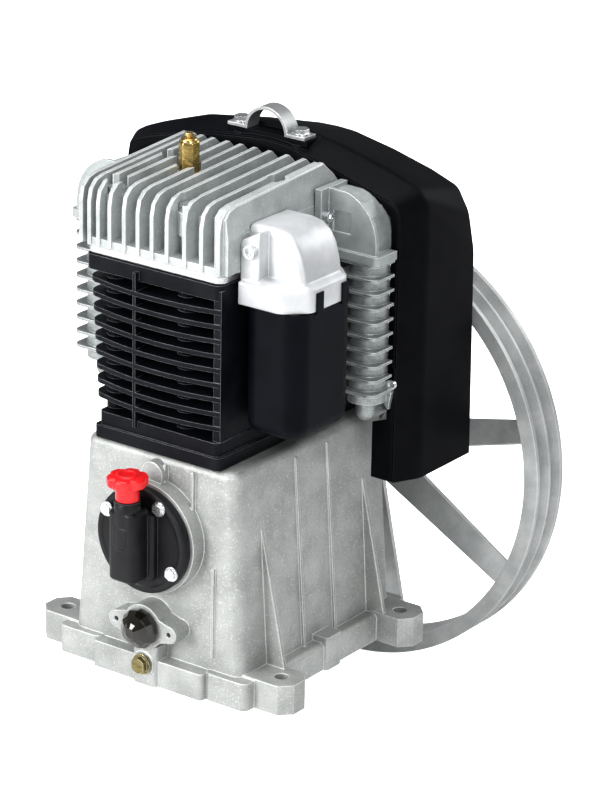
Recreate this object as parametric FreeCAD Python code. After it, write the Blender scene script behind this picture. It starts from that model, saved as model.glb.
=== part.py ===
import FreeCAD, Part
import math
import os

os.makedirs("parts", exist_ok=True)

# All lengths are millimetres.  X is to the right seen from the oil cover,
# Y runs along the crankshaft from the cover to the flywheel, Z is up.
# The origin is the middle of the four foot holes, on the plane the feet stand on.

# crank train
crank_z = 146.0
throw = 35.0
stage1_y = 38.0
stage2_y = -58.0
stage1_bore = 105.0
stage2_bore = 55.0
stage1_mouth_r = 60.0
stage2_mouth_r = 34.0
rod_pin_height = 168.0
crown_height = 46.0
pin_r = 19.0
journal_r = 20.0
shaft_r = 17.5
rear_flange_r = 75.0
rear_bolt_r = 70.0
web_t = 10.0
pin_len = 28.0
big_end_half = 31.0
rod_gap = 0.5
plug_r = 7.0

# stack of castings
foot_x = 126.0
foot_y = 94.5
foot_h = 29.0
foot_hole_r = 6.75
case_top = 222.0
case_half_x_top = 86.0
case_half_x_low = 101.0
case_half_y_top = 117.0
case_half_y_low = 120.0
case_wall = 8.0
block_base = 223.0
block_top = 396.0
plate_low = 397.0
plate_top = 403.0
head_low = 404.0
fin_pitch = 13.8
block_fin_count = 9
block_fin_low = 261.0
block_fin_t = 4.4
block_x0 = -90.0
block_x1 = 66.0
block_y0 = -114.0
block_y1 = 104.0

# head fins, each a plate square to X
head_fin_x = (-92.0, -82.5, -72.3, -59.0, -42.5, -26.8, -10.8, 6.2, 25.9, 44.9, 63.7)
head_fin_t = 4.0
head_core_top = 449.0
head_flank_x = 71.0
head_bolts = ((-65.6, -95.0), (16.0, -95.0), (-65.6, -16.0), (54.3, -16.0), (-65.6, 92.0), (54.3, 92.0))

# flywheel
wheel_r = 220.0
wheel_y0 = 180.2
wheel_w = 44.6
wheel_inner_r = 205.0
groove_pitch = 19.0
groove_top_w = 17.0
groove_depth = 14.5
groove_half_angle = 19.0
spoke_count = 8
spoke_first_angle = 14.0

# coolers
right_tube_xy = (112.0, 50.0)
left_tube_xy = (-147.0, -10.0)
tube_fin_side = 46.0
tube_core_r = 18.5
tube_fin_count = 10
tube_fin_low = 266.0
tube_fin_pitch = 13.9
pipe_z = 243.0
elbow_bolt_dy = 26.0
elbow_bolt_z = 431.0
elbow_plate_half = 32.0

# shroud: half outlines, measured from its own centre line
shroud_x = -12.0
shroud_low = 173.0
shroud_wall = 3.0
shroud_front = ((146, 173), (149, 428), (147, 438), (140, 444.5), (110, 452), (66, 465), (20, 475.5), (0, 477))
shroud_crease = ((162, 173), (162, 436), (159, 447), (150, 454), (114, 466), (66, 478), (20, 486), (0, 487))
shroud_rear = ((162, 173), (159, 375), (152, 411), (139, 433), (110, 443.5), (66, 455), (20, 464), (0, 465))
shroud_front_left = ((165, 173), (166, 430), (163, 446), (142, 454), (110, 462), (66, 471), (20, 476))
shroud_crease_left = ((180, 173), (181, 434), (177, 446), (166, 453), (142, 462), (92, 478), (30, 487))
shroud_rear_left = ((180, 173), (177, 375), (169, 411), (155, 433), (128, 447), (84, 458), (20, 464.5))
shroud_y = (60.0, 86.0, 168.0)

# lifting strap
strap_x = -16.5
strap_bolt_dx = 34.0
strap_y = 70.0
strap_low = 485.0
strap_r = 24.5
strap_t = 3.0
strap_boss_top = 467.0

# small fittings
valve_xy = (-35.0, -30.0)
filter_box = (72.0, 136.0, -93.0, -4.0)
filter_low = 256.0
filter_split = 376.0
glass_z = 59.0
drain_z = 22.0
outlet_y = 42.0
filler_y = -162.0
filler_seat = 191.0
outlet_z = 436.0

made = []


def vec(x, y, z):
    return FreeCAD.Vector(x, y, z)


def box(x0, x1, y0, y1, z0, z1):
    return Part.makeBox(x1 - x0, y1 - y0, z1 - z0, vec(x0, y0, z0))


def rod_x(x0, x1, y, z, r):
    return Part.makeCylinder(r, x1 - x0, vec(x0, y, z), vec(1, 0, 0))


def rod_y(y0, y1, x, z, r):
    return Part.makeCylinder(r, y1 - y0, vec(x, y0, z), vec(0, 1, 0))


def rod_z(z0, z1, x, y, r):
    return Part.makeCylinder(r, z1 - z0, vec(x, y, z0), vec(0, 0, 1))


def face_of(points):
    return Part.Face(Part.makePolygon(list(points) + [points[0]]))


def round_rect(x0, x1, y0, y1, z, r):
    # outline of a rectangle with round corners, flat at height z
    edges = []
    corners = ((x1 - r, y1 - r, 0), (x0 + r, y1 - r, 90), (x0 + r, y0 + r, 180), (x1 - r, y0 + r, 270))
    ends = []
    for cx, cy, start in corners:
        pts = []
        for turn in (0, 45, 90):
            a = math.radians(start + turn)
            pts.append(vec(cx + r * math.cos(a), cy + r * math.sin(a), z))
        edges.append(Part.Arc(pts[0], pts[1], pts[2]).toShape())
        ends.append((pts[0], pts[2]))
    for i in range(4):
        a = ends[i][1]
        b = ends[(i + 1) % 4][0]
        if a.distanceToPoint(b) > 0.001:
            edges.append(Part.makeLine(a, b))
    return Part.Wire(Part.__sortEdges__(edges))


def slab(x0, x1, y0, y1, z0, z1, r):
    return Part.Face(round_rect(x0, x1, y0, y1, z0, r)).extrude(vec(0, 0, z1 - z0))


def hex_bar(base, axis, flats, height):
    # hexagonal bar standing on base, pointing along axis
    pts = []
    for i in range(6):
        a = math.radians(60 * i + 30)
        pts.append(vec(flats / math.sqrt(3) * math.cos(a), flats / math.sqrt(3) * math.sin(a), 0))
    bar = face_of(pts).extrude(vec(0, 0, height))
    bar.Placement = FreeCAD.Placement(base, FreeCAD.Rotation(vec(0, 0, 1), axis))
    return bar


def bolt(base, axis, shank_r, length, flats, head_h, washer_r=0.0):
    # hexagon bolt: base is the seat under the head, axis points out of the head
    shank = Part.makeCylinder(shank_r, length, base, axis * -1)
    head = hex_bar(base, axis, flats, head_h)
    whole = head.fuse(shank)
    if washer_r:
        whole = whole.fuse(Part.makeCylinder(washer_r, 1.6, base, axis))
    return whole.removeSplitter()


def socket_screw(base, axis, shank_r, length, head_r, head_h):
    shank = Part.makeCylinder(shank_r, length, base, axis * -1)
    head = Part.makeCylinder(head_r, head_h, base, axis)
    tip = base + axis * (head_h - head_h * 0.5)
    return head.fuse(shank).cut(hex_bar(tip, axis, head_r * 1.1, head_h))


def soft_edges(shape, size, pick):
    # round the picked edges; keep the sharp shape if the kernel refuses
    edges = [e for e in shape.Edges if pick(e)]
    try:
        done = shape.makeFillet(size, edges)
        if done.isValid() and done.Volume > 0:
            return done
    except Exception:
        print("edges kept sharp", len(edges))
    return shape


def save(name, shape):
    if not shape.isValid():
        print("shape not valid:", name)
    shape.exportStep("parts/" + name + ".step")
    made.append(name)


def tapered(inset, z0, z1):
    # tapered crankcase volume between two heights
    def half(z, low, top):
        return low + (top - low) * z / case_top - inset
    wires = []
    for z in (z0, z1):
        hx = half(z, case_half_x_low, case_half_x_top)
        hy = half(z, case_half_y_low, case_half_y_top)
        wires.append(round_rect(-hx, hx, -hy, hy, z, max(4.0, 13.0 - inset)))
    return Part.makeLoft(wires, True, True)


def foot(sx, sy):
    # foot block with cut corners, a little higher than the rails
    x, y = foot_x, foot_y
    pts = ((-38, 16), (-38, -20), (10, -20), (21, -9), (21, 8), (11, 19), (-8, 19))
    out = []
    for dx, dy in pts:
        out.append(vec(sx * (x + dx), sy * (y - dy), 0))
    return face_of(out).extrude(vec(0, 0, foot_h))


def gusset(sx, y, t):
    # thin web from the case wall down to the foot
    pts = (vec(sx * 84, y, 167), vec(sx * 89, y, 167), vec(sx * 119, y, foot_h), vec(sx * 119, y, 10), vec(sx * 84, y, 10))
    return face_of(pts).extrude(vec(0, t, 0))


def sight_lobes(y0, y1, grow=0.0):
    # two-lobed flange around the sight glass
    body = rod_y(y0, y1, 0, glass_z, 22.0 + grow)
    for s in (-1, 1):
        body = body.fuse(rod_y(y0, y1, s * 30.5, glass_z, 8.5 + grow))
        pts = (vec(0, y0, glass_z - 17), vec(s * 30.5, y0, glass_z - 8.3), vec(s * 30.5, y0, glass_z + 8.3), vec(0, y0, glass_z + 17))
        body = body.fuse(face_of(pts).extrude(vec(0, y1 - y0, 0)))
    return body


def make_crankcase():
    outer = tapered(0, 0, case_top)
    outer = soft_edges(outer, 7.0, lambda e: min(v.Point.z for v in e.Vertexes) > case_top - 0.5)
    for sx in (-1, 1):
        for sy in (-1, 1):
            outer = outer.fuse(foot(sx, sy))
            outer = outer.fuse(gusset(sx, sy * 79.0 - 2.0, 4.0))
        x0, x1 = sorted((sx * 95.0, sx * 112.0))
        rail = box(x0, x1, -78, 78, 0, 27)
        rail = soft_edges(rail, 5.0, lambda e, s=sx: min(v.Point.z for v in e.Vertexes) > 26.5 and min(abs(v.Point.x) for v in e.Vertexes) > 111.5)
        outer = outer.fuse(rail)
        x0, x1 = sorted((sx * 95.0, sx * 116.0))
        outer = outer.fuse(slab(x0, x1, -9, 14, 0, 33, 3))
        for y in (-25.0, 24.0):
            pts = (vec(sx * 80, y - 1.6, 216), vec(sx * 88.2, y - 1.6, 212), vec(sx * 102.6, y - 1.6, 20), vec(sx * 80, y - 1.6, 20))
            outer = outer.fuse(face_of(pts).extrude(vec(0, 3.2, 0)))
    for sy, reach in ((-1, 134.0), (1, 126.0)):
        y0, y1 = sorted((sy * 108.0, sy * reach))
        rail = slab(-64, 64, y0, y1, 0, 26, 4)
        outer = outer.fuse(rail)
        y0, y1 = sorted((sy * 108.0, sy * min(reach, 128.0)))
        for sx in (-1, 1):
            x0, x1 = sorted((sx * 62.0, sx * 110.0))
            outer = outer.fuse(slab(x0, x1, y0, y1, 0, 27, 7))
    outer = outer.fuse(rod_y(-134, -112, 0, crank_z, 54))
    outer = outer.fuse(rod_y(-127, -112, 0, 206, 12))
    outer = outer.fuse(rod_y(112, 120, 0, crank_z, rear_flange_r))
    outer = outer.fuse(sight_lobes(-140, -112))
    outer = outer.fuse(slab(-14, 14, -138, -112, 0, 40, 5))
    outer = outer.fuse(rod_y(-139, -112, 0, drain_z, 12))
    for x, z0, z1 in ((10, 188, 216), (42, 180, 216), (66, 40, 128)):
        outer = outer.fuse(box(x - 1.2, x + 1.2, -121.5, -112, z0, z1))
    # bearing boss behind the front cover
    inner = tapered(case_wall, 12.0, case_top - 12.0)
    inner = inner.cut(rod_y(-113, -98, 0, crank_z, 46))
    body = outer.cut(inner)
    body = body.cut(rod_y(-101, -97, 0, crank_z, 31.5))
    body = body.cut(rod_y(-140, -109, 0, crank_z, 38.0))
    body = body.cut(rod_y(-110, -101, 0, crank_z, 36.02))
    body = body.cut(rod_y(-135, -109, 0, crank_z, 40.0))
    body = body.cut(rod_y(100, 125, 0, crank_z, 66.0))
    body = body.cut(rod_z(case_top - 20, case_top + 5, 0, stage1_y, stage1_mouth_r))
    body = body.cut(rod_z(case_top - 20, case_top + 5, 0, stage2_y, stage2_mouth_r))
    # room under the deck for the front rod's big end at the top of its swing
    body = body.cut(box(-50, 50, stage2_y - 15.5, stage2_y + 15.5, case_top - 30, case_top - 8))
    body = body.cut(rod_y(-145, -105, 0, glass_z, 14.0))
    for s in (-1, 1):
        body = body.cut(rod_y(-145, -126, s * 30.5, glass_z, 2.6))
    body = body.cut(rod_y(-145, -100, 0, drain_z, 6.1))
    for sx in (-1, 1):
        for sy in (-1, 1):
            body = body.cut(rod_z(-1, foot_h + 1, sx * foot_x, sy * foot_y, foot_hole_r))
    for x, y in head_bolts:
        body = body.cut(rod_z(case_top - 13, case_top + 1, x, y, 5.2))
    for a in (45, 135, 225, 315):
        c = 43.5 * math.cos(math.radians(a + 14))
        s = 43.5 * math.sin(math.radians(a + 14))
        body = body.cut(rod_y(-136, -118, c, crank_z + s, 3.1))
    for i in range(6):
        a = math.radians(60 * i + 30)
        body = body.cut(rod_y(104, 128, rear_bolt_r * math.cos(a), crank_z + rear_bolt_r * math.sin(a), 3.1))
    save("crankcase", body.removeSplitter())


def make_base_gasket():
    sheet = slab(-73, 69, -112, 108, case_top, block_base, 6)
    sheet = sheet.cut(rod_z(case_top - 1, block_base + 1, 0, stage1_y, stage1_mouth_r))
    sheet = sheet.cut(rod_z(case_top - 1, block_base + 1, 0, stage2_y, stage2_mouth_r))
    for x, y in head_bolts:
        sheet = sheet.cut(rod_z(case_top - 1, block_base + 1, x, y, 5.5))
    save("base_gasket", sheet)


def fin_outline(x0, x1, y0, y1, z, bulge, r_left):
    # plan of a cylinder fin: bowed front, rounded left end
    a = vec(x0 + r_left, y0 + 2, z)
    b = vec((x0 + x1) / 2, y0 - bulge, z)
    c = vec(x1, y0 + 2, z)
    front = Part.Arc(a, b, c).toShape()
    d = vec(x1, y1, z)
    e = vec(x0 + r_left, y1, z)
    k = r_left * 0.293
    f = Part.Arc(e, vec(x0 + k, y1 - k, z), vec(x0, y1 - r_left, z)).toShape()
    g = Part.makeLine(vec(x0, y1 - r_left, z), vec(x0, y0 + 2 + r_left, z))
    h = Part.Arc(vec(x0, y0 + 2 + r_left, z), vec(x0 + k, y0 + 2 + k, z), a).toShape()
    edges = [front, Part.makeLine(c, d), Part.makeLine(d, e), f, g, h]
    return Part.Wire(Part.__sortEdges__(edges))


def make_cylinder_block():
    body = slab(-74, 70, -119, 110, block_base, block_base + 12, 5)
    body = body.fuse(slab(-71, 67, -116, 107, block_base + 11, block_base + 25, 6))
    body = body.fuse(rod_z(block_base, block_top, 0, stage1_y, stage1_bore / 2 + 7.5))
    body = body.fuse(rod_z(block_base, block_top, 0, stage2_y, stage2_bore / 2 + 8))
    body = body.fuse(slab(block_x0 + 2, block_x1, block_y0, block_y1 - 2, block_top - 14, block_top, 8))
    for i in range(block_fin_count):
        z = block_fin_low + i * fin_pitch
        lean = (block_top - z) * 0.06
        wire = fin_outline(block_x0 + lean, block_x1, block_y0, block_y1 - 6, z - block_fin_t / 2, 6.5, 14.0)
        body = body.fuse(Part.Face(wire).extrude(vec(0, 0, block_fin_t)))
    for x, y in head_bolts:
        body = body.fuse(rod_z(block_base, block_top, x, y, 9.5))
    body = body.fuse(box(-28.5, -25.5, -119.5, -90, block_base + 20, block_top - 5))
    body = body.fuse(box(58, block_x1, block_y0 + 2, 92, block_base + 20, block_top - 5))
    body = body.cut(rod_z(block_base - 1, block_top + 1, 0, stage1_y, stage1_bore / 2))
    body = body.cut(rod_z(block_base - 1, block_top + 1, 0, stage2_y, stage2_bore / 2))
    for x, y in head_bolts:
        body = body.cut(rod_z(block_base - 1, block_top + 1, x, y, 5.5))
    save("cylinder_block", body.removeSplitter())


def make_gasket(name, z):
    sheet = slab(-88, 64, -110, 100, z, z + 1, 8)
    sheet = sheet.cut(rod_z(z - 1, z + 2, 0, stage1_y, 54.0))
    sheet = sheet.cut(rod_z(z - 1, z + 2, 0, stage2_y, 29.0))
    for x, y in head_bolts:
        sheet = sheet.cut(rod_z(z - 1, z + 2, x, y, 5.5))
    save(name, sheet)


def port_spots():
    # suction and delivery ports through the valve plate
    return ((-24, stage1_y, 8.0), (26, stage1_y + 10, 8.0), (-14, stage2_y, 4.5), (14, stage2_y, 4.5))


def make_valve_plate():
    plate = slab(-89, 65, -111, 101, plate_low, plate_top, 8)
    for x, y in head_bolts:
        plate = plate.cut(rod_z(plate_low - 1, plate_top + 1, x, y, 5.5))
    for x, y, r in port_spots():
        plate = plate.cut(rod_z(plate_low - 1, plate_top + 1, x, y, r))
    save("valve_plate", plate)
    reeds = []
    for i, (x, y, r) in enumerate(port_spots()):
        half = r + 3.0
        z = plate_low - 0.8 if i % 2 == 0 else plate_top
        reed = slab(x - half, x + half, y - half, y + half + 12, z, z + 0.8, half - 1)
        reeds.append(reed)
    save("reed_valves", Part.makeCompound(reeds))


def head_profile(x, inset, y1):
    # side view of one head fin, as points in the plane of constant X
    y0 = -115.0 + inset
    top = 468.0 - inset
    pts = [vec(x, y0, head_low + 2), vec(x, y0, 446.0)]
    for a in (30, 60, 90):
        r = math.radians(a)
        pts.append(vec(x, y0 + 20.0 * (1 - math.cos(r)), top - 20.0 + 19.0 * math.sin(r)))
    # tops climb gently, then dip and run on low under the shroud
    pts.append(vec(x, y1 - 8, top + (y1 + 87.0) * 0.05))
    pts.append(vec(x, y1 + 6, 462.0 - inset))
    pts.append(vec(x, y1 + 14, 452.0 - inset))
    pts.append(vec(x, 98, 451.0 - inset))
    pts.append(vec(x, 98, head_low + 2))
    return pts


def make_cylinder_head():
    body = slab(-90, 66, -113, 102, head_low, head_low + 8, 8)
    body = body.fuse(slab(-74, 66, -96, 98, head_low + 4, head_core_top, 10))
    fins_end = 46.0
    for x in head_fin_x:
        fin = face_of(head_profile(x - head_fin_t / 2, 0, fins_end)).extrude(vec(head_fin_t, 0, 0))
        body = body.fuse(fin)
    body = body.fuse(slab(56, head_flank_x, -92, 88, head_low, 440, 6))
    # right flank: slopes in from the foot to the tops of the fins
    slope = (vec(56, -110, 404), vec(head_flank_x, -110, 404), vec(head_flank_x, -110, 438), vec(66, -110, 480), vec(56, -110, 480))
    flank = face_of(slope).extrude(vec(0, 202, 0))
    body = body.fuse(flank.common(face_of(head_profile(50, 1.0, fins_end)).extrude(vec(30, 0, 0))))
    # solid pad that carries the left cooler's duct and screws
    left_y = left_tube_xy[1]
    body = body.fuse(box(-94, -70, left_y - 32, left_y + 32, head_low + 1, 455))
    body = body.fuse(rod_x(-94, -70, outlet_y, outlet_z, 13.0))
    # raised shoulders beside the two front bolts and the relief valve boss
    body = body.fuse(rod_z(440, 462, valve_xy[0], valve_xy[1], 12.0))
    for dx in (-1, 1):
        body = body.fuse(rod_z(440, strap_boss_top, strap_x + dx * strap_bolt_dx, strap_y, 9.0))
    for x, y in head_bolts:
        body = body.fuse(rod_z(430, 452, x, y, 9.5))
        body = body.cut(rod_z(452, 500, x, y, 9.5))
        body = body.cut(rod_z(head_low - 1, 460, x, y, 5.5))
    # gas chambers, open towards the valve plate
    chambers = (
        box(-50, 0, 30, 84, head_low - 1, 427),
        box(-50, 44, 6, 24, head_low - 1, 427),
        box(36, 60, -44, 24, head_low + 10, 427),
        box(8, 46, 30, 84, head_low - 1, 427),
        box(-50, -4, -84, -2, head_low - 1, 427),
        box(2, 28, -80, -14, head_low - 1, 427),
        box(-50, 0, 20, 34, head_low - 1, 427),
    )
    for cut in chambers:
        body = body.cut(cut)
    body = body.cut(rod_z(438, 475, valve_xy[0], valve_xy[1], 8.0))
    body = body.cut(rod_z(462, 500, valve_xy[0], valve_xy[1], 11.5))
    body = body.cut(rod_z(420, 445, valve_xy[0], valve_xy[1], 4.0))
    body = body.cut(rod_x(40, 80, right_tube_xy[1], 418, 8.6))
    body = body.cut(rod_x(-95, -45, left_y, 418, 8.6))
    body = body.cut(rod_x(45, 80, -30, 418, 8.4))
    # delivery duct, from the front chamber to the outlet on the left
    body = body.cut(rod_y(-56, 48, 15, outlet_z, 6.0))
    body = body.cut(rod_z(424, 437, 15, -50, 5.0))
    body = body.cut(rod_x(-95, 15, outlet_y, outlet_z, 5.5))
    for dy in (-elbow_bolt_dy, elbow_bolt_dy):
        body = body.cut(rod_x(55, 80, right_tube_xy[1] + dy, elbow_bolt_z, 3.3))
        body = body.cut(rod_x(-96, -78, left_y + dy, elbow_bolt_z, 3.3))
    for dx in (-1, 1):
        body = body.cut(rod_z(444, 480, strap_x + dx * strap_bolt_dx, strap_y, 4.1))
    save("cylinder_head", body.removeSplitter())
    bolts = []
    for x, y in head_bolts:
        bolts.append(bolt(vec(x, y, 452), vec(0, 0, 1), 5.0, 452 - case_top + 10, 16.0, 7.0, 9.0))
    save("head_bolts", Part.makeCompound(bolts))


def make_front_cover():
    disc = rod_y(-144, -134.5, 0, crank_z, 50.8)
    disc = soft_edges(disc, 2.0, lambda e: min(v.Point.y for v in e.Vertexes) < -143.9 and max(v.Point.y for v in e.Vertexes) < -143.9)
    spigot = rod_y(-135, -124, 0, crank_z, 39.6)
    body = disc.fuse(spigot)
    # filler body: broad step on the cover, narrow front, round neck
    body = body.fuse(box(-17, 17, -152, -140, crank_z - 30, crank_z + 26))
    body = body.fuse(box(-11.5, 11.5, filler_y - 12.5, -150, crank_z - 22, crank_z + 30))
    body = body.fuse(rod_z(crank_z - 22, filler_seat, 0, filler_y, 12.4))
    body = body.cut(rod_y(-138, -120, 0, crank_z, 33.0))
    body = body.cut(rod_z(crank_z + 8, filler_seat + 1, 0, filler_y, 8.2))
    body = body.cut(rod_y(filler_y, -130, 0, crank_z + 14, 6.0))
    for a in (45, 135, 225, 315):
        c = 43.5 * math.cos(math.radians(a + 14))
        s = 43.5 * math.sin(math.radians(a + 14))
        body = body.cut(rod_y(-150, -130, c, crank_z + s, 3.4))
    save("front_cover", body.removeSplitter())
    ring = rod_y(-134.5, -134, 0, crank_z, 50.5).cut(rod_y(-135, -133, 0, crank_z, 40.2))
    bolts = []
    for a in (45, 135, 225, 315):
        c = 43.5 * math.cos(math.radians(a + 14))
        s = 43.5 * math.sin(math.radians(a + 14))
        ring = ring.cut(rod_y(-136, -132, c, crank_z + s, 3.4))
        bolts.append(bolt(vec(c, -144, crank_z + s), vec(0, -1, 0), 3.0, 24.0, 10.0, 4.5, 7.0))
    save("cover_gasket", ring)
    save("cover_bolts", Part.makeCompound(bolts))
    # filler cap: plain neck, lobed knob above it, seal ring below
    z = filler_seat + 1.5
    cap = rod_z(z, z + 14, 0, filler_y, 11.0)
    cap = cap.fuse(rod_z(z + 13.5, z + 24, 0, filler_y, 19.0))
    for i in range(6):
        a = math.radians(60 * i + 20)
        cap = cap.cut(rod_z(z + 13, z + 25, 24.0 * math.cos(a), filler_y + 24.0 * math.sin(a), 8.0))
    cap = cap.fuse(rod_z(z + 23.5, z + 25.5, 0, filler_y, 9.0).cut(rod_z(z + 24.5, z + 27, 0, filler_y, 6.5)))
    cap = cap.fuse(rod_z(z - 18, z + 1, 0, filler_y, 8.1))
    save("filler_cap", cap.removeSplitter())
    seal = rod_z(z - 1.5, z, 0, filler_y, 12.0).cut(rod_z(z - 3, z + 1, 0, filler_y, 8.2))
    save("cap_seal", seal)


def make_sight_and_drain():
    ring = rod_y(-141.5, -140, 0, glass_z, 17.0).cut(rod_y(-143, -139, 0, glass_z, 12.0))
    save("sight_seal", ring)
    # faceted dome, each ring of facets smaller and further out
    rings = ((-141.5, 19.0), (-147.0, 19.0), (-152.5, 15.5), (-157.0, 9.5), (-159.0, 5.0))
    dome = None
    for i in range(len(rings) - 1):
        wires = []
        for y, r in rings[i:i + 2]:
            pts = []
            for k in range(12):
                a = math.radians(30 * k)
                pts.append(vec(r * math.cos(a), y, glass_z + r * math.sin(a)))
            wires.append(Part.makePolygon(pts + [pts[0]]))
        piece = Part.makeLoft(wires, True, True)
        dome = piece if dome is None else dome.fuse(piece)
    dome = dome.fuse(rod_y(-141.6, -128, 0, glass_z, 11.8))
    dome = dome.cut(rod_y(-146, -127, 0, glass_z, 8.0))
    save("sight_glass", dome.removeSplitter())
    plug = bolt(vec(0, -140.5, drain_z), vec(0, -1, 0), 6.0, 18.0, 14.0, 7.0, 10.0)
    plug = plug.fuse(rod_y(-140.5, -139, 0, drain_z, 9.0))
    save("drain_plug", plug.removeSplitter())


def make_relief_valve():
    x, y = valve_xy
    base = vec(x, y, 462)
    body = hex_bar(base, vec(0, 0, 1), 17.0, 31.0)
    body = body.fuse(rod_z(440, 462, x, y, 7.9))
    body = body.fuse(rod_z(492, 495, x, y, 7.0))
    body = body.cut(rod_z(452, 489, x, y, 5.6))
    body = body.cut(rod_z(438, 455, x, y, 3.0))
    body = body.cut(rod_z(485, 500, x, y, 3.2))
    for z in (470.0, 480.0):
        body = body.cut(rod_x(x - 12, x + 12, y, z, 2.2))
    save("safety_valve_body", body.removeSplitter())
    poppet = rod_z(452.5, 458.5, x, y, 5.0)
    poppet = poppet.fuse(rod_z(458, 498, x, y, 2.4))
    poppet = poppet.fuse(rod_z(497, 500, x, y, 4.0))
    save("valve_poppet", poppet.removeSplitter())
    helix = Part.makeHelix(4.2, 27.0, 3.9)
    helix.translate(vec(x, y, 460.5))
    ring = Part.Wire(Part.makeCircle(0.7, vec(x + 3.9, y, 460.5), vec(0, 1, 0.17)))
    spring = Part.Wire(helix).makePipeShell([ring], True, True)
    save("safety_spring", spring)


def make_filter():
    x0, x1, y0, y1 = filter_box
    bowl = slab(x0, x1, y0, y1, filter_low, filter_split, 20)
    bowl = soft_edges(bowl, 12.0, lambda e: max(v.Point.z for v in e.Vertexes) < filter_low + 0.1)
    bowl = bowl.cut(slab(x0 + 3, x1 - 3, y0 + 3, y1 - 3, filter_low + 4, filter_split + 1, 17))
    save("filter_bowl", bowl)
    band_top = filter_split + 26
    rim = slab(head_flank_x, x1 + 2, y0 - 2, y1 + 2, filter_split + 0.5, band_top, 22)
    # hood over the intake duct, flat against the head
    hood_y0 = y0 + 15
    hood_y1 = y1 - 14
    top = 447.0
    start = vec(head_flank_x, hood_y0, band_top - 2)
    left = vec(head_flank_x, hood_y0, top)
    crown = vec(103, hood_y0, top)
    bend = vec(125, hood_y0, 436)
    right = vec(x1 - 1, hood_y0, band_top - 2)
    edges = [Part.makeLine(start, left), Part.makeLine(left, crown), Part.Arc(crown, bend, right).toShape(), Part.makeLine(right, start)]
    hood = Part.Face(Part.Wire(edges)).extrude(vec(0, hood_y1 - hood_y0, 0))
    hood = soft_edges(hood, 7.0, lambda e: abs(e.Vertexes[0].Point.y - e.Vertexes[-1].Point.y) < 0.1 and max(v.Point.z for v in e.Vertexes) > top - 1 and max(v.Point.x for v in e.Vertexes) > 100)
    lug = (vec(head_flank_x, hood_y0 - 14, band_top - 2), vec(92, hood_y0 - 14, band_top - 2), vec(92, hood_y0 - 14, 447), vec(head_flank_x + 2, hood_y0 - 14, 437), vec(head_flank_x, hood_y0 - 14, 434))
    cover = rim.fuse(hood).fuse(face_of(lug).extrude(vec(0, 15, 0)))
    hollow = slab(x0 + 4, x1 - 8, y0 + 6, y1 - 6, filter_split - 1, band_top - 4, 14)
    hollow = hollow.fuse(box(x0 + 4, 116, hood_y0 + 6, hood_y1 - 6, band_top - 8, 432))
    cover = cover.cut(hollow)
    cover = cover.cut(rod_x(x0 - 5, x0 + 10, -30, 418, 8.5))
    cover = cover.cut(box(88, 118, y1 - 10, y1 + 4, filter_split + 8, filter_split + 18))
    cover = cover.cut(rod_y(hood_y0 - 16, hood_y0 + 2, 83.5, 428, 3.1))
    save("filter_cover", cover.removeSplitter())
    bolts = [socket_screw(vec(83.5, hood_y0 - 14, 428), vec(0, -1, 0), 3.0, 14.0, 6.5, 5.5)]
    save("filter_bolts", Part.makeCompound(bolts))
    core = slab(x0 + 9, x1 - 9, y0 + 9, y1 - 9, filter_low + 6, filter_split + 2, 13)
    core = core.cut(slab(x0 + 20, x1 - 20, y0 + 20, y1 - 20, filter_low + 10, filter_split + 3, 8))
    save("filter_element", core)
    clips = []
    for y in (-64.0, -26.0):
        clip = box(x1 + 2, x1 + 3.4, y - 5, y + 5, filter_split - 1.6, filter_split + 18)
        clip = clip.fuse(box(x1 + 0.2, x1 + 3.4, y - 5, y + 5, filter_split - 1.6, filter_split + 0.3))
        clips.append(clip)
    save("filter_clips", Part.makeCompound(clips))


def finned_tube(x, y, low, top, fins):
    pipe = rod_z(low, top, x, y, tube_core_r)
    half = tube_fin_side / 2
    for i in range(fins):
        z = tube_fin_low + i * tube_fin_pitch
        pipe = pipe.fuse(slab(x - half, x + half, y - half, y + half, z - 1.3, z + 1.3, 9))
    pipe = pipe.cut(rod_z(low - 1, low + 10, x, y, 10.0))
    return pipe.cut(rod_z(low + 9, top + 1, x, y, 10.0))


def elbow(side, x_flange, x_tube, y, low, top):
    # cast elbow: flange on the head, quarter-round body, flat foot on the tube
    reach = abs(x_tube - x_flange) + 20.0
    height = top - low
    pts = [vec(x_flange, y - 20, low), vec(x_flange, y - 20, top)]
    steps = 8
    for i in range(1, steps + 1):
        a = math.radians(90.0 * i / steps)
        pts.append(vec(x_flange + side * (reach - 42 + 42 * math.sin(a)), y - 20, low + height * 0.18 + height * 0.82 * math.cos(a)))
    pts.append(vec(x_flange + side * reach, y - 20, low))
    panel = face_of(pts).extrude(vec(0, 4, 0))
    inner = [p + vec(0, 3.5, 0) for p in pts]
    inner = [vec(x_flange + (p.x - x_flange) * 0.93, p.y, low + (p.z - low) * 0.93) for p in inner]
    body = panel.fuse(face_of(inner).extrude(vec(0, 36.5, 0)))
    a, b = sorted((x_flange, x_flange + side * 7))
    plate = box(a, b, y - elbow_plate_half, y + elbow_plate_half, low + 2, top)
    body = body.fuse(plate)
    a, b = sorted((x_flange + side * 10, x_tube + side * 25))
    body = body.fuse(slab(a, b, y - 24, y + 24, low - 7, low + 1, 6))
    duct_z = 418.0
    a, b = sorted((x_flange - side * 1, x_tube))
    body = body.cut(rod_x(a, b, y, duct_z, 10.0))
    body = body.cut(rod_z(low - 8, duct_z, x_tube, y, 10.0))
    body = body.cut(Part.makeSphere(10.0, vec(x_tube, y, duct_z)))
    a, b = sorted((x_flange + side * 12, x_flange + side * 32))
    body = body.cut(box(a, b, y - 21, y - 18.5, low + 16, low + 36))
    return body


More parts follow.
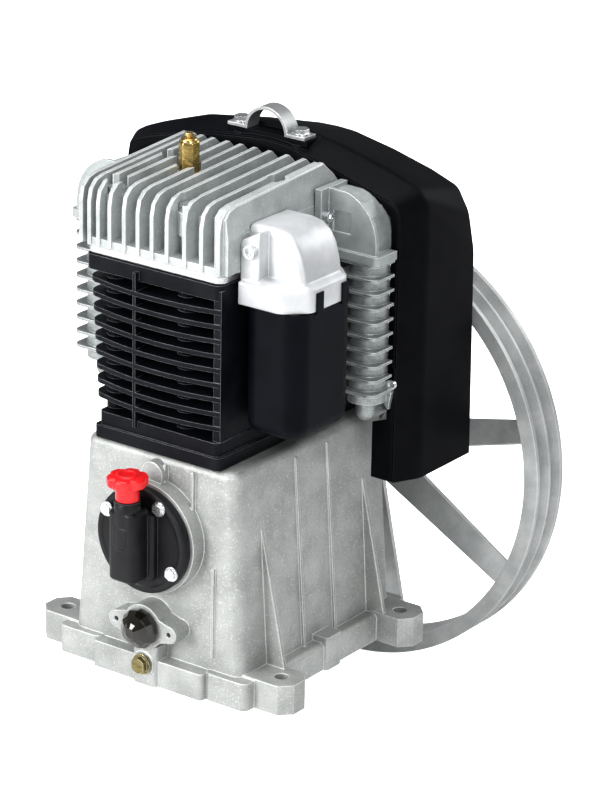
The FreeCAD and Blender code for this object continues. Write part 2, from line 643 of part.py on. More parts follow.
def make_coolers():
    low = 400.0
    top = 456.0
    rx, ry = right_tube_xy
    lx, ly = left_tube_xy
    right = finned_tube(rx, ry, 254, low - 7, tube_fin_count)
    # fins notched where the shroud's front edge passes, and a small bracket below them
    right = right.cut(box(127, 140, 56.5, 80, 250, 400))
    pts = (vec(rx + 6, ry + 6, 263.5), vec(rx + 23, ry + 6, 263.5), vec(rx + 20, ry + 6, 246), vec(rx + 6, ry + 6, 260))
    right = right.fuse(face_of(pts).extrude(vec(0, 4, 0)))
    save("right_cooler_tube", right.removeSplitter())
    save("left_cooler_tube", finned_tube(lx, ly, 254, low - 7, tube_fin_count).removeSplitter())
    r_elbow = elbow(1, 72.0, rx, ry, low, top)
    l_elbow = elbow(-1, -95.0, lx, ly, low, top)
    # the right elbow is lower and narrower where the shroud covers it
    r_elbow = r_elbow.cut(box(80, 140, 58.5, 90, 440, 470))
    r_elbow = r_elbow.cut(box(71, 81, 58.5, 90, 450, 470))
    r_elbow = r_elbow.cut(box(127, 145, 56.5, 90, 385, 402))
    screws = []
    for x, s, y in ((72.0, 1, ry), (-95.0, -1, ly)):
        for dy in (-elbow_bolt_dy, elbow_bolt_dy):
            z = elbow_bolt_z
            hole = rod_x(min(x - s * 5, x + s * 12), max(x - s * 5, x + s * 12), y + dy, z, 3.6)
            if s > 0:
                r_elbow = r_elbow.cut(hole)
            else:
                l_elbow = l_elbow.cut(hole)
            screws.append(socket_screw(vec(x + s * 7, y + dy, z), vec(s, 0, 0), 3.2, 22.0, 5.5, 7.0))
    save("right_elbow", r_elbow.removeSplitter())
    save("left_elbow", l_elbow.removeSplitter())
    save("elbow_bolts", Part.makeCompound(screws))
    gaskets = []
    for x0, x1, y in ((71.0, 72.0, ry), (-95.0, -94.0, ly)):
        sheet = box(x0, x1, y - 31.5, y + 31.5, 405, 452).cut(rod_x(x0 - 1, x1 + 1, y, 418, 10.0))
        for dy in (-elbow_bolt_dy, elbow_bolt_dy):
            sheet = sheet.cut(rod_x(x0 - 1, x1 + 1, y + dy, elbow_bolt_z, 3.6))
        gaskets.append(sheet)
    save("elbow_gaskets", Part.makeCompound(gaskets))
    # pipe joining the two tubes behind the cylinders
    z = pipe_z
    back = 120.0
    path = (vec(lx, ly, 253.5), vec(lx, ly, z), vec(lx, back, z), vec(rx, back, z), vec(rx, ry, z), vec(rx, ry, 253.5))
    pipe = None
    for i in range(len(path) - 1):
        leg = path[i + 1] - path[i]
        piece = Part.makeCylinder(10.0, leg.Length, path[i], leg)
        pipe = piece if pipe is None else pipe.fuse(piece)
        if i:
            pipe = pipe.fuse(Part.makeSphere(10.0, path[i]))
    hollow = None
    for i in range(len(path) - 1):
        leg = path[i + 1] - path[i]
        piece = Part.makeCylinder(7.5, leg.Length, path[i], leg)
        hollow = piece if hollow is None else hollow.fuse(piece)
        if i:
            hollow = hollow.fuse(Part.makeSphere(7.5, path[i]))
    save("crossover_pipe", pipe.cut(hollow).removeSplitter())


def shroud_shell(inset, y_front, y_rear, low):
    sides = (
        (shroud_front, shroud_front_left, y_front),
        (shroud_crease, shroud_crease_left, shroud_y[1]),
        (shroud_rear, shroud_rear_left, y_rear),
    )
    wires = []
    for right, left, y in sides:
        pts = []
        for i, (dx, z) in enumerate(right):
            pts.append(vec(shroud_x + (max(dx - inset, 0) if dx else 0), y, low if i == 0 else z - inset))
        for i, (dx, z) in reversed(list(enumerate(left))):
            pts.append(vec(shroud_x - (dx - inset), y, low if i == 0 else z - inset))
        wires.append(Part.makePolygon(pts + [pts[0]]))
    return Part.makeLoft(wires, True, True)


def make_shroud():
    y0, y1, y2 = shroud_y
    outer = shroud_shell(0.0, y0, y2, shroud_low)
    inner = shroud_shell(shroud_wall, y0 - 1, y2 + 1, shroud_low - 5)
    shell = outer.cut(inner)
    for s in (-1, 1):
        reach = 145 if s > 0 else 164
        a, b = sorted((shroud_x + s * (reach - 22), shroud_x + s * reach))
        shell = shell.fuse(box(a, b, y0 + 0.2, y0 + 3.2, shroud_low, 240))
    pad = slab(strap_x - 46, strap_x + 46, y0 + 3, y0 + 25, 473, strap_low - 3, 3)
    shell = shell.fuse(pad)
    for s in (-1, 1):
        shell = shell.fuse(rod_z(strap_boss_top, 476, strap_x + s * strap_bolt_dx, strap_y, 8.4))
    # flat seat for the strap, sunk where the top climbs past it
    shell = shell.cut(box(strap_x - 46, strap_x + 46, y0 - 1, strap_y + 10, strap_low - 3, strap_low + 20))
    for s in (-1, 1):
        shell = shell.cut(rod_z(460, 500, strap_x + s * strap_bolt_dx, strap_y, 4.5))
    shell = shell.cut(rod_y(50, 90, 133.5, 270, 2.6))
    shell = shell.fuse(box(128, 146, y0, y0 + 3, 256, 286).cut(rod_y(50, 90, 133.5, 270, 2.6)))
    # room for the crossover pipe at both sides
    for x in (right_tube_xy[0], left_tube_xy[0]):
        shell = shell.cut(rod_y(50, 80, x, pipe_z, 11.5))
    save("shroud", shell.removeSplitter())
    screw = socket_screw(vec(133.5, y0, 270), vec(0, -1, 0), 2.4, 14.0, 5.0, 3.5)
    save("shroud_screws", screw)


def make_strap():
    y0 = strap_y - 9
    z = strap_low - 3
    r = strap_r
    t = strap_t
    # one bent strip: foot, half-round loop, foot
    reach = 44.0
    knee = math.sqrt(r * r - t * t)
    at = lambda dx, dz: vec(strap_x + dx, y0, z + dz)
    line = Part.makeLine
    edges = [line(at(-reach, 0), at(-reach, t)), line(at(-reach, t), at(-knee, t))]
    edges.append(Part.Arc(at(-knee, t), at(0, r), at(knee, t)).toShape())
    edges += [line(at(knee, t), at(reach, t)), line(at(reach, t), at(reach, 0)), line(at(reach, 0), at(r - t, 0))]
    edges.append(Part.Arc(at(r - t, 0), at(0, r - t), at(t - r, 0)).toShape())
    edges.append(line(at(t - r, 0), at(-reach, 0)))
    strip = Part.Face(Part.Wire(edges)).extrude(vec(0, 18, 0))
    for s in (-1, 1):
        strip = strip.cut(rod_z(z - 1, z + t + 1, strap_x + s * strap_bolt_dx, strap_y, 4.5))
    save("lifting_strap", strip)
    bolts = []
    for s in (-1, 1):
        bolts.append(bolt(vec(strap_x + s * strap_bolt_dx, strap_y, z + t), vec(0, 0, 1), 4.0, 40.0, 13.0, 5.5, 8.5))
    save("strap_bolts", Part.makeCompound(bolts))
    fitting = hex_bar(vec(-94, outlet_y, outlet_z), vec(-1, 0, 0), 24.0, 12.0)
    fitting = fitting.fuse(rod_x(-122, -105, outlet_y, outlet_z, 9.5))
    fitting = fitting.cut(rod_x(-123, -93, outlet_y, outlet_z, 7.0))
    save("outlet_fitting", fitting.removeSplitter())


def ring_y(y0, y1, z, r_out, r_in):
    return rod_y(y0, y1, 0, z, r_out).cut(rod_y(y0 - 1, y1 + 1, 0, z, r_in))


def make_bearings():
    # deep groove bearings: front in the case wall, rear in its housing
    outer = []
    inner = []
    balls = []
    for y0, width in ((-110.0, 9.0), (126.0, 18.0)):
        mid = y0 + width / 2
        ball_r = 5.2 if width > 10 else 3.4
        groove_out = Part.makeTorus(28.0, ball_r + 0.35, vec(0, mid, crank_z), vec(0, 1, 0))
        outer.append(ring_y(y0, y0 + width, crank_z, 36.0, 31.5).cut(groove_out))
        inner.append(ring_y(y0, y0 + width, crank_z, 24.5, journal_r).cut(groove_out))
        for i in range(10):
            a = math.radians(36 * i)
            balls.append(Part.makeSphere(ball_r, vec(28.0 * math.cos(a), mid, crank_z + 28.0 * math.sin(a))))
    save("bearing_outer_rings", Part.makeCompound(outer))
    save("bearing_inner_rings", Part.makeCompound(inner))
    save("bearing_balls", Part.makeCompound(balls))
    housing = rod_y(120, 130, 0, crank_z, rear_flange_r)
    housing = housing.fuse(rod_y(110, 121, 0, crank_z, 65.6))
    housing = housing.fuse(rod_y(125, 158, 0, crank_z, 46.0))
    housing = housing.cut(rod_y(126, 145, 0, crank_z, 36.02))
    housing = housing.cut(rod_y(109, 160, 0, crank_z, 31.5))
    housing = housing.cut(rod_y(148, 159, 0, crank_z, 33.0))
    housing = housing.cut(rod_y(109, 118, 0, crank_z, 58.0))
    bolts = []
    for i in range(6):
        a = math.radians(60 * i + 30)
        c = rear_bolt_r * math.cos(a)
        s = rear_bolt_r * math.sin(a)
        housing = housing.cut(rod_y(119, 131, c, crank_z + s, 3.4))
        bolts.append(bolt(vec(c, 130, crank_z + s), vec(0, 1, 0), 3.0, 20.0, 10.0, 4.5))
    save("rear_housing", housing.removeSplitter())
    save("housing_bolts", Part.makeCompound(bolts))
    seal = ring_y(148, 156, crank_z, 32.9, 21.0)
    seal = seal.cut(ring_y(149.5, 157, crank_z, 31.0, 22.5))
    save("oil_seal", seal)


def web(y0, angle_sign, heavy):
    # crank web: cheek towards the pin, round counterweight opposite
    up = angle_sign
    pts = (vec(-24, y0, crank_z), vec(-22, y0, crank_z + up * throw), vec(22, y0, crank_z + up * throw), vec(24, y0, crank_z))
    cheek = face_of(pts).extrude(vec(0, web_t, 0))
    cheek = cheek.fuse(rod_y(y0, y0 + web_t, 0, crank_z + up * throw, 25.0))
    cheek = cheek.fuse(rod_y(y0, y0 + web_t, 0, crank_z, 27.0))
    if heavy:
        disc = rod_y(y0, y0 + web_t, 0, crank_z, 62.0)
        z0, z1 = sorted((crank_z - up * 6, crank_z - up * 70))
        disc = disc.common(box(-56, 56, y0 - 1, y0 + web_t + 1, z0, z1))
        cheek = cheek.fuse(disc)
    return cheek


def make_crankshaft():
    half = pin_len / 2
    body = rod_y(-112, stage2_y - half - web_t + 1, 0, crank_z, journal_r)
    body = body.fuse(web(stage2_y - half - web_t, -1, True))
    body = body.fuse(rod_y(stage2_y - half - 1, stage2_y + half + 1, 0, crank_z - throw, pin_r))
    body = body.fuse(web(stage2_y + half, -1, False))
    body = body.fuse(rod_y(stage2_y + half + web_t - 1, stage1_y - half - web_t + 1, 0, crank_z, 22.0))
    body = body.fuse(web(stage1_y - half - web_t, 1, False))
    body = body.fuse(rod_y(stage1_y - half - 1, stage1_y + half + 1, 0, crank_z + throw, pin_r))
    body = body.fuse(web(stage1_y + half, 1, True))
    body = body.fuse(rod_y(stage1_y + half + web_t - 1, 165, 0, crank_z, journal_r))
    body = body.fuse(rod_y(164, 232, 0, crank_z, shaft_r))
    body = body.cut(rod_y(205, 233, 0, crank_z, 5.1))
    body = body.cut(box(-4.02, 4.02, 184, 222, crank_z + shaft_r - 4, crank_z + shaft_r + 5))
    # seats of the two small web plugs
    body = body.cut(rod_y(stage1_y + half + 2, stage1_y + half + web_t + 1, 0, crank_z + throw / 2, plug_r + 0.06))
    body = body.cut(rod_y(stage2_y - half - web_t - 1, stage2_y - half - 2, 0, crank_z - throw / 2, plug_r + 0.06))
    save("crankshaft", body.removeSplitter())
    save("stage1_web_plug", rod_y(stage1_y + half + 2.5, stage1_y + half + web_t - 0.5, 0, crank_z + throw / 2, plug_r))
    save("stage2_web_plug", rod_y(stage2_y - half - web_t + 0.5, stage2_y - half - 2.5, 0, crank_z - throw / 2, plug_r))


def make_wheel():
    y1 = wheel_y0 + wheel_w
    rim = ring_y(wheel_y0, y1, crank_z, wheel_r, wheel_inner_r)
    mid = wheel_y0 + wheel_w / 2
    low_half = groove_top_w / 2 - groove_depth * math.tan(math.radians(groove_half_angle))
    for s in (-1, 1):
        y = mid + s * groove_pitch / 2
        pts = (vec(wheel_r + 1, y - groove_top_w / 2 - 0.3, crank_z), vec(wheel_r + 1, y + groove_top_w / 2 + 0.3, crank_z),
               vec(wheel_r - groove_depth + 3, y + low_half, crank_z), vec(wheel_r - groove_depth + 3, y - low_half, crank_z))
        cutter = face_of([vec(p.x, p.y, p.z) for p in pts]).revolve(vec(0, 0, crank_z), vec(0, 1, 0), 360)
        rim = rim.cut(cutter)
    hub = rod_y(wheel_y0 - 4, y1 + 2, 0, crank_z, 36.0)
    wheel = rim.fuse(hub)
    for i in range(spoke_count):
        a = spoke_first_angle + i * 360.0 / spoke_count
        # blade wider at the hub, set a little askew so that it moves air
        wires = []
        for r, half_w, t, twist in ((30.0, 16.0, 9.0, 18.0), (wheel_inner_r + 3, 11.0, 8.0, 24.0)):
            pts = []
            for du, dv in ((-half_w, -t / 2), (half_w, -t / 2), (half_w, t / 2), (-half_w, t / 2)):
                c = math.cos(math.radians(twist))
                s = math.sin(math.radians(twist))
                pts.append(vec(r, mid + du * s + dv * c, du * c - dv * s))
            wires.append(Part.makePolygon(pts + [pts[0]]))
        blade = Part.makeLoft(wires, True, True)
        blade.translate(vec(0, 0, crank_z))
        blade.rotate(vec(0, 0, crank_z), vec(0, 1, 0), -a)
        wheel = wheel.fuse(blade)
    wheel = wheel.cut(rod_y(wheel_y0 - 10, y1 + 10, 0, crank_z, shaft_r + 0.02))
    wheel = wheel.cut(box(-4.02, 4.02, wheel_y0 - 10, y1 + 10, crank_z + 10, crank_z + shaft_r + 4.2))
    save("flywheel", wheel.removeSplitter())
    save("flywheel_key", box(-4, 4, 185, 221, crank_z + shaft_r - 3.9, crank_z + shaft_r + 4))
    washer = ring_y(232.2, 236.2, crank_z, 26.0, 5.3)
    spacer = ring_y(y1 + 2.2, 232.2, crank_z, 26.0, 18.2)
    screw = bolt(vec(0, 236.2, crank_z), vec(0, 1, 0), 5.0, 30.0, 16.0, 7.0)
    save("flywheel_bolt", Part.makeCompound([washer.fuse(spacer).fuse(screw).removeSplitter()]))


def make_rod_train(tag, y, sign, bore):
    # sign +1: crankpin at the top when the joints are at rest; -1: at the bottom
    pin_z = crank_z + sign * throw
    half = pin_len / 2 - 0.6
    block = slab(-big_end_half, big_end_half, y - half, y + half, pin_z - big_end_half, pin_z + big_end_half, 3)
    block = block.cut(rod_y(y - half - 1, y + half + 1, 0, pin_z, pin_r + 0.05))
    for s in (-1, 1):
        block = block.cut(box(s * 24 - 1, s * 24 + 1, y - half - 1, y + half + 1, pin_z - 0.3, pin_z + 0.3))
        block = block.fuse(hex_bar(vec(s * 25, y, pin_z - big_end_half), vec(0, 0, -1), 9.0, 4.5))
    block = block.fuse(box(-3, 3, y - 4, y + 4, pin_z - big_end_half - 22, pin_z - big_end_half + 1))
    save(tag + "_big_end", block.removeSplitter())
    wrist_z = pin_z + rod_pin_height
    crown = wrist_z + crown_height
    r = bore / 2 - 0.06
    skirt = crown_height + 24 if bore > 80 else crown_height + 16
    piston = rod_z(crown - skirt, crown, 0, y, r)
    piston = piston.cut(rod_z(crown - skirt - 1, crown - 20, 0, y, r - 6))
    wrist_r = 9.0 if bore > 80 else 7.0
    boss = rod_x(-r + 3, r - 3, y, wrist_z, wrist_r + 6).cut(box(-12, 12, y - 40, y + 40, wrist_z - 30, wrist_z + 30))
    column = box(-r + 3, r - 3, y - wrist_r - 6, y + wrist_r + 6, wrist_z, crown - 15).cut(box(-12, 12, y - 40, y + 40, wrist_z - 30, wrist_z + 40))
    piston = piston.fuse(boss.fuse(column).common(rod_z(crown - skirt, crown, 0, y, r)))
    ring_w = 2.5
    rings = []
    for k in range(3):
        z = crown - 8 - 7 * k
        groove = rod_z(z - ring_w - 0.1, z + 0.1, 0, y, r + 1).cut(rod_z(z - ring_w - 1, z + 1, 0, y, r - 4.2))
        piston = piston.cut(groove)
        ring = rod_z(z - ring_w, z, 0, y, r + 0.01).cut(rod_z(z - ring_w - 1, z + 1, 0, y, r - 3.9))
        rings.append(ring.cut(box(0, r + 5, y - 0.4, y + 0.4, z - 5, z + 2)))
    piston = piston.cut(rod_x(-r - 2, r + 2, y, wrist_z, wrist_r + 0.02))
    save(tag + "_piston", piston.removeSplitter())
    save(tag + "_rings", Part.makeCompound(rings))
    wrist = rod_x(-r + 3, r - 3, y, wrist_z, wrist_r).cut(rod_x(-r, r, y, wrist_z, wrist_r - 3.5))
    save(tag + "_wrist_pin", wrist)
    foot_z = pin_z + big_end_half + rod_gap
    eye_w = 11.0
    rod = rod_x(-eye_w, eye_w, y, wrist_z, wrist_r + 5)
    rod = rod.fuse(box(-5, 5, y - 9, y + 9, foot_z + 4, wrist_z - wrist_r))
    rod = rod.fuse(box(-8, 8, y - 3, y + 3, foot_z + 4, wrist_z - wrist_r))
    rod = rod.fuse(slab(-14, 14, y - 12, y + 12, foot_z, foot_z + 6, 3))
    rod = rod.cut(rod_x(-20, 20, y, wrist_z, wrist_r + 0.02))
    save(tag + "_rod", rod.removeSplitter())


make_crankcase()
make_base_gasket()
make_cylinder_block()
make_gasket("lower_head_gasket", block_top)
make_gasket("upper_head_gasket", plate_top)
make_valve_plate()
make_cylinder_head()
make_front_cover()
make_sight_and_drain()
make_relief_valve()
make_filter()
make_coolers()
make_shroud()
make_strap()
make_bearings()
make_crankshaft()
make_wheel()
make_rod_train("stage1", stage1_y, 1, stage1_bore)
make_rod_train("stage2", stage2_y, -1, stage2_bore)
print(len(made), "nodes")
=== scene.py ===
import bpy
import math
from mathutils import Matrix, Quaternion, Vector


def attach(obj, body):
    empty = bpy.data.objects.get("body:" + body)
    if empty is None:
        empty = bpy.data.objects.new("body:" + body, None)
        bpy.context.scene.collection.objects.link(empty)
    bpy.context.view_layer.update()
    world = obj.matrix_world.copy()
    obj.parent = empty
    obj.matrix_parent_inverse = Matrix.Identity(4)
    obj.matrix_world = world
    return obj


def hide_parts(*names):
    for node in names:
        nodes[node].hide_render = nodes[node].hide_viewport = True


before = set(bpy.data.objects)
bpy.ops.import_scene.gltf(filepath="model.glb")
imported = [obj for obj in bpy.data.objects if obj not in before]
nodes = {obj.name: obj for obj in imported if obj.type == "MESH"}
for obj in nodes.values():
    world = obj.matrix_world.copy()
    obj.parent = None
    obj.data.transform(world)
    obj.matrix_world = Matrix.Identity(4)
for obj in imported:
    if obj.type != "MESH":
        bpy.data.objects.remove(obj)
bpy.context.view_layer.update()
mm = 0.001
print("frame loaded:", len(nodes), "nodes")


# small helpers for modelling

def clearSelection():
    if bpy.context.object and bpy.context.object.mode != "OBJECT":
        bpy.ops.object.mode_set(mode="OBJECT")
    bpy.ops.object.select_all(action="DESELECT")


def takeNew(name):
    piece = bpy.context.object
    piece.name = name
    piece.data.name = name
    return piece


def editing(piece, mode="FACE"):
    clearSelection()
    piece.select_set(True)
    bpy.context.view_layer.objects.active = piece
    bpy.ops.object.mode_set(mode="EDIT")
    bpy.ops.mesh.select_mode(type=mode)
    bpy.ops.mesh.select_all(action="DESELECT")


def pickFaces(piece, test):
    # select the faces whose middle and normal pass the test
    bpy.ops.object.mode_set(mode="OBJECT")
    for poly in piece.data.polygons:
        poly.select = bool(test(poly.center / mm, poly.normal))
    bpy.ops.object.mode_set(mode="EDIT")


def pickEdges(piece, test):
    bpy.ops.object.mode_set(mode="OBJECT")
    verts = piece.data.vertices
    for poly in piece.data.polygons:
        poly.select = False
    for v in verts:
        v.select = False
    for edge in piece.data.edges:
        a, b = (verts[i].co / mm for i in edge.vertices)
        edge.select = bool(test(a, b))
    bpy.ops.object.mode_set(mode="EDIT")


def pickPoints(piece, test):
    bpy.ops.object.mode_set(mode="OBJECT")
    for poly in piece.data.polygons:
        poly.select = False
    for edge in piece.data.edges:
        edge.select = False
    for v in piece.data.vertices:
        v.select = bool(test(v.co / mm))
    bpy.ops.object.mode_set(mode="EDIT")


def drawLine(name, points):
    # an open line of points in millimetres, one point drawn out into the next
    clearSelection()
    bpy.ops.mesh.primitive_plane_add(size=0.001, location=(0, 0, 0))
    piece = takeNew(name)
    bpy.ops.object.mode_set(mode="EDIT")
    bpy.ops.mesh.select_mode(type="VERT")
    bpy.ops.mesh.select_all(action="SELECT")
    bpy.ops.mesh.merge(type="CENTER")
    here = Vector(points[0])
    bpy.ops.transform.translate(value=here * mm)
    for point in points[1:]:
        extrudeBy(*(Vector(point) - here))
        here = Vector(point)
    bpy.ops.object.mode_set(mode="OBJECT")
    return piece


def drawSlab(name, points, step):
    # a closed outline, filled and drawn out along one step
    piece = drawLine(name, points)
    editing(piece, "VERT")
    bpy.ops.mesh.select_all(action="SELECT")
    bpy.ops.mesh.edge_face_add()
    bpy.ops.mesh.select_all(action="SELECT")
    extrudeBy(*step)
    bpy.ops.object.mode_set(mode="OBJECT")
    outward(piece)
    return piece


def chamfered(piece, test, offset, segments):
    editing(piece, "EDGE")
    pickEdges(piece, test)
    bpy.ops.mesh.bevel(offset=offset * mm, offset_type="OFFSET", segments=segments, affect="EDGES")
    bpy.ops.object.mode_set(mode="OBJECT")


def insetEnds(piece, test, thickness, depth):
    editing(piece)
    pickFaces(piece, test)
    bpy.ops.mesh.inset(thickness=thickness * mm, depth=depth * mm)
    bpy.ops.object.mode_set(mode="OBJECT")


def extrudeBy(x, y, z):
    bpy.ops.mesh.extrude_region_move(TRANSFORM_OT_translate={"value": (x * mm, y * mm, z * mm)})


def outward(piece):
    editing(piece)
    bpy.ops.mesh.select_all(action="SELECT")
    bpy.ops.mesh.remove_doubles(threshold=0.00001)
    bpy.ops.mesh.normals_make_consistent(inside=False)
    bpy.ops.object.mode_set(mode="OBJECT")


def applied(piece, kind, name, **settings):
    clearSelection()
    piece.select_set(True)
    bpy.context.view_layer.objects.active = piece
    mod = piece.modifiers.new(name, kind)
    for key, value in settings.items():
        setattr(mod, key, value)
    bpy.ops.object.modifier_apply(modifier=mod.name)


def softened(piece, width, segments=2, angle=35):
    applied(piece, "BEVEL", "edge rounding", width=width * mm, segments=segments,
            limit_method="ANGLE", angle_limit=math.radians(angle), use_clamp_overlap=True)
    smoothed(piece, angle)


def smoothed(piece, angle=40):
    clearSelection()
    piece.select_set(True)
    bpy.context.view_layer.objects.active = piece
    bpy.ops.object.shade_smooth_by_angle(angle=math.radians(angle))


def joined(name, pieces):
    clearSelection()
    for piece in pieces:
        piece.select_set(True)
    bpy.context.view_layer.objects.active = pieces[0]
    if len(pieces) > 1:
        bpy.ops.object.join()
    return takeNew(name)


def settled(piece):
    clearSelection()
    piece.select_set(True)
    bpy.context.view_layer.objects.active = piece
    bpy.ops.object.transform_apply(location=True, rotation=True, scale=True)
    return piece


def finished(piece, body, slot, material, *replaced):
    settled(piece)
    piece.data.materials.clear()
    piece.data.materials.append(material)
    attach(piece, body)
    if replaced:
        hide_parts(*replaced)


# shader groups that more than one finish uses

def newGroup(name, inputs, outputs):
    group = bpy.data.node_groups.new(name, "ShaderNodeTree")
    for label, kind, value in inputs:
        socket = group.interface.new_socket(name=label, in_out="INPUT", socket_type=kind)
        if value is not None:
            socket.default_value = value
    for label, kind in outputs:
        group.interface.new_socket(name=label, in_out="OUTPUT", socket_type=kind)
    return group, group.nodes.new("NodeGroupInput"), group.nodes.new("NodeGroupOutput")


def place(tree, kind, **settings):
    node = tree.nodes.new(kind)
    for key, value in settings.items():
        if key in node.inputs.keys():
            node.inputs[key].default_value = value
        else:
            setattr(node, key, value)
    return node


def wire(tree, out, into):
    tree.links.new(out, into)


def buildCastGrain():
    # sand-cast or moulded skin: fine grain, softer lumps, rounded edges
    group, start, end = newGroup("castGrain", [
        ("Grain size", "NodeSocketFloat", 900.0), ("Grain depth", "NodeSocketFloat", 0.25),
        ("Lump depth", "NodeSocketFloat", 0.2), ("Edge radius", "NodeSocketFloat", 0.001)],
        [("Normal", "NodeSocketVector"), ("Mottle", "NodeSocketFloat"), ("Speckle", "NodeSocketFloat")])
    coords = place(group, "ShaderNodeTexCoord")
    rounding = place(group, "ShaderNodeBevel", samples=6)
    wire(group, start.outputs["Edge radius"], rounding.inputs["Radius"])
    fine = place(group, "ShaderNodeTexNoise", Detail=3.0, Roughness=0.65)
    wire(group, coords.outputs["Object"], fine.inputs["Vector"])
    wire(group, start.outputs["Grain size"], fine.inputs["Scale"])
    lumps = place(group, "ShaderNodeTexNoise", Scale=160.0, Detail=2.0)
    wire(group, coords.outputs["Object"], lumps.inputs["Vector"])
    blotches = place(group, "ShaderNodeTexNoise", Scale=28.0, Detail=3.0, Roughness=0.6)
    wire(group, coords.outputs["Object"], blotches.inputs["Vector"])
    grainBump = place(group, "ShaderNodeBump", Distance=0.0004)
    wire(group, fine.outputs["Fac"], grainBump.inputs["Height"])
    wire(group, start.outputs["Grain depth"], grainBump.inputs["Strength"])
    lumpBump = place(group, "ShaderNodeBump", Distance=0.0012)
    wire(group, lumps.outputs["Fac"], lumpBump.inputs["Height"])
    wire(group, start.outputs["Lump depth"], lumpBump.inputs["Strength"])
    wire(group, rounding.outputs["Normal"], lumpBump.inputs["Normal"])
    wire(group, lumpBump.outputs["Normal"], grainBump.inputs["Normal"])
    wire(group, grainBump.outputs["Normal"], end.inputs["Normal"])
    wire(group, blotches.outputs["Fac"], end.inputs["Mottle"])
    wire(group, fine.outputs["Fac"], end.inputs["Speckle"])
    return group


def buildEdgeWearAndHighlight():
    # mask that is light along sharp edges, broken up by noise; the light edges are partly worn edges and
    # partly a painted highlight where edges would catch the light
    group, start, end = newGroup("edgeWearAndHighlight", [
        ("Width", "NodeSocketFloat", 0.0012), ("Breakup", "NodeSocketFloat", 0.35),
        ("Gain", "NodeSocketFloat", 4.0)],
        [("Mask", "NodeSocketFloat")])
    coords = place(group, "ShaderNodeTexCoord")
    rounding = place(group, "ShaderNodeBevel", samples=6)
    wire(group, start.outputs["Width"], rounding.inputs["Radius"])
    flat = place(group, "ShaderNodeNewGeometry")
    dot = place(group, "ShaderNodeVectorMath", operation="DOT_PRODUCT")
    wire(group, rounding.outputs["Normal"], dot.inputs[0])
    wire(group, flat.outputs["Normal"], dot.inputs[1])
    away = place(group, "ShaderNodeMath", operation="SUBTRACT")
    away.inputs[0].default_value = 1.0
    wire(group, dot.outputs["Value"], away.inputs[1])
    gained = place(group, "ShaderNodeMath", operation="MULTIPLY")
    wire(group, away.outputs[0], gained.inputs[0])
    wire(group, start.outputs["Gain"], gained.inputs[1])
    noise = place(group, "ShaderNodeTexNoise", Scale=140.0, Detail=4.0)
    wire(group, coords.outputs["Object"], noise.inputs["Vector"])
    broken = place(group, "ShaderNodeMath", operation="MULTIPLY")
    wire(group, noise.outputs["Fac"], broken.inputs[0])
    wire(group, start.outputs["Breakup"], broken.inputs[1])
    masked = place(group, "ShaderNodeMath", operation="SUBTRACT", use_clamp=True)
    wire(group, gained.outputs[0], masked.inputs[0])
    wire(group, broken.outputs[0], masked.inputs[1])
    wire(group, masked.outputs[0], end.inputs["Mask"])
    return group


def buildToolMarks():
    # fine rings or lines left by a lathe or a brush
    group, start, end = newGroup("toolMarks", [
        ("Pitch", "NodeSocketFloat", 900.0), ("Depth", "NodeSocketFloat", 0.15),
        ("Edge radius", "NodeSocketFloat", 0.0006)],
        [("Normal", "NodeSocketVector"), ("Streak", "NodeSocketFloat")])
    coords = place(group, "ShaderNodeTexCoord")
    stretch = place(group, "ShaderNodeMapping")
    stretch.inputs["Scale"].default_value = (0.12, 1.0, 1.0)
    wire(group, coords.outputs["Object"], stretch.inputs["Vector"])
    noise = place(group, "ShaderNodeTexNoise", Detail=3.0)
    wire(group, stretch.outputs["Vector"], noise.inputs["Vector"])
    wire(group, start.outputs["Pitch"], noise.inputs["Scale"])
    rounding = place(group, "ShaderNodeBevel", samples=6)
    wire(group, start.outputs["Edge radius"], rounding.inputs["Radius"])
    bump = place(group, "ShaderNodeBump", Distance=0.0003)
    wire(group, noise.outputs["Fac"], bump.inputs["Height"])
    wire(group, start.outputs["Depth"], bump.inputs["Strength"])
    wire(group, rounding.outputs["Normal"], bump.inputs["Normal"])
    wire(group, bump.outputs["Normal"], end.inputs["Normal"])
    wire(group, noise.outputs["Fac"], end.inputs["Streak"])
    return group


castGrain = buildCastGrain()
edgeWearAndHighlight = buildEdgeWearAndHighlight()
toolMarks = buildToolMarks()
print("effects built")


# finishes

def useGroup(tree, group, values):
    node = tree.nodes.new("ShaderNodeGroup")
    node.node_tree = group
    for key, value in values.items():
        node.inputs[key].default_value = value
    return node


def blendColours(tree, factor, first, second):
    mix = place(tree, "ShaderNodeMix", data_type="RGBA", clamp_factor=True)
    if factor is not None:
        wire(tree, factor, mix.inputs["Factor"])
    for socket, colour in ((mix.inputs[6], first), (mix.inputs[7], second)):
        if isinstance(colour, tuple):
            socket.default_value = (*colour, 1.0)
        else:
            wire(tree, colour, socket)
    return mix.outputs[2]


def spread(tree, value, low, high, outLow, outHigh):
    ranged = place(tree, "ShaderNodeMapRange", clamp=True)
    wire(tree, value, ranged.inputs["Value"])
    ranged.inputs["From Min"].default_value = low
    ranged.inputs["From Max"].default_value = high
    ranged.inputs["To Min"].default_value = outLow
    ranged.inputs["To Max"].default_value = outHigh
    return ranged.outputs["Result"]


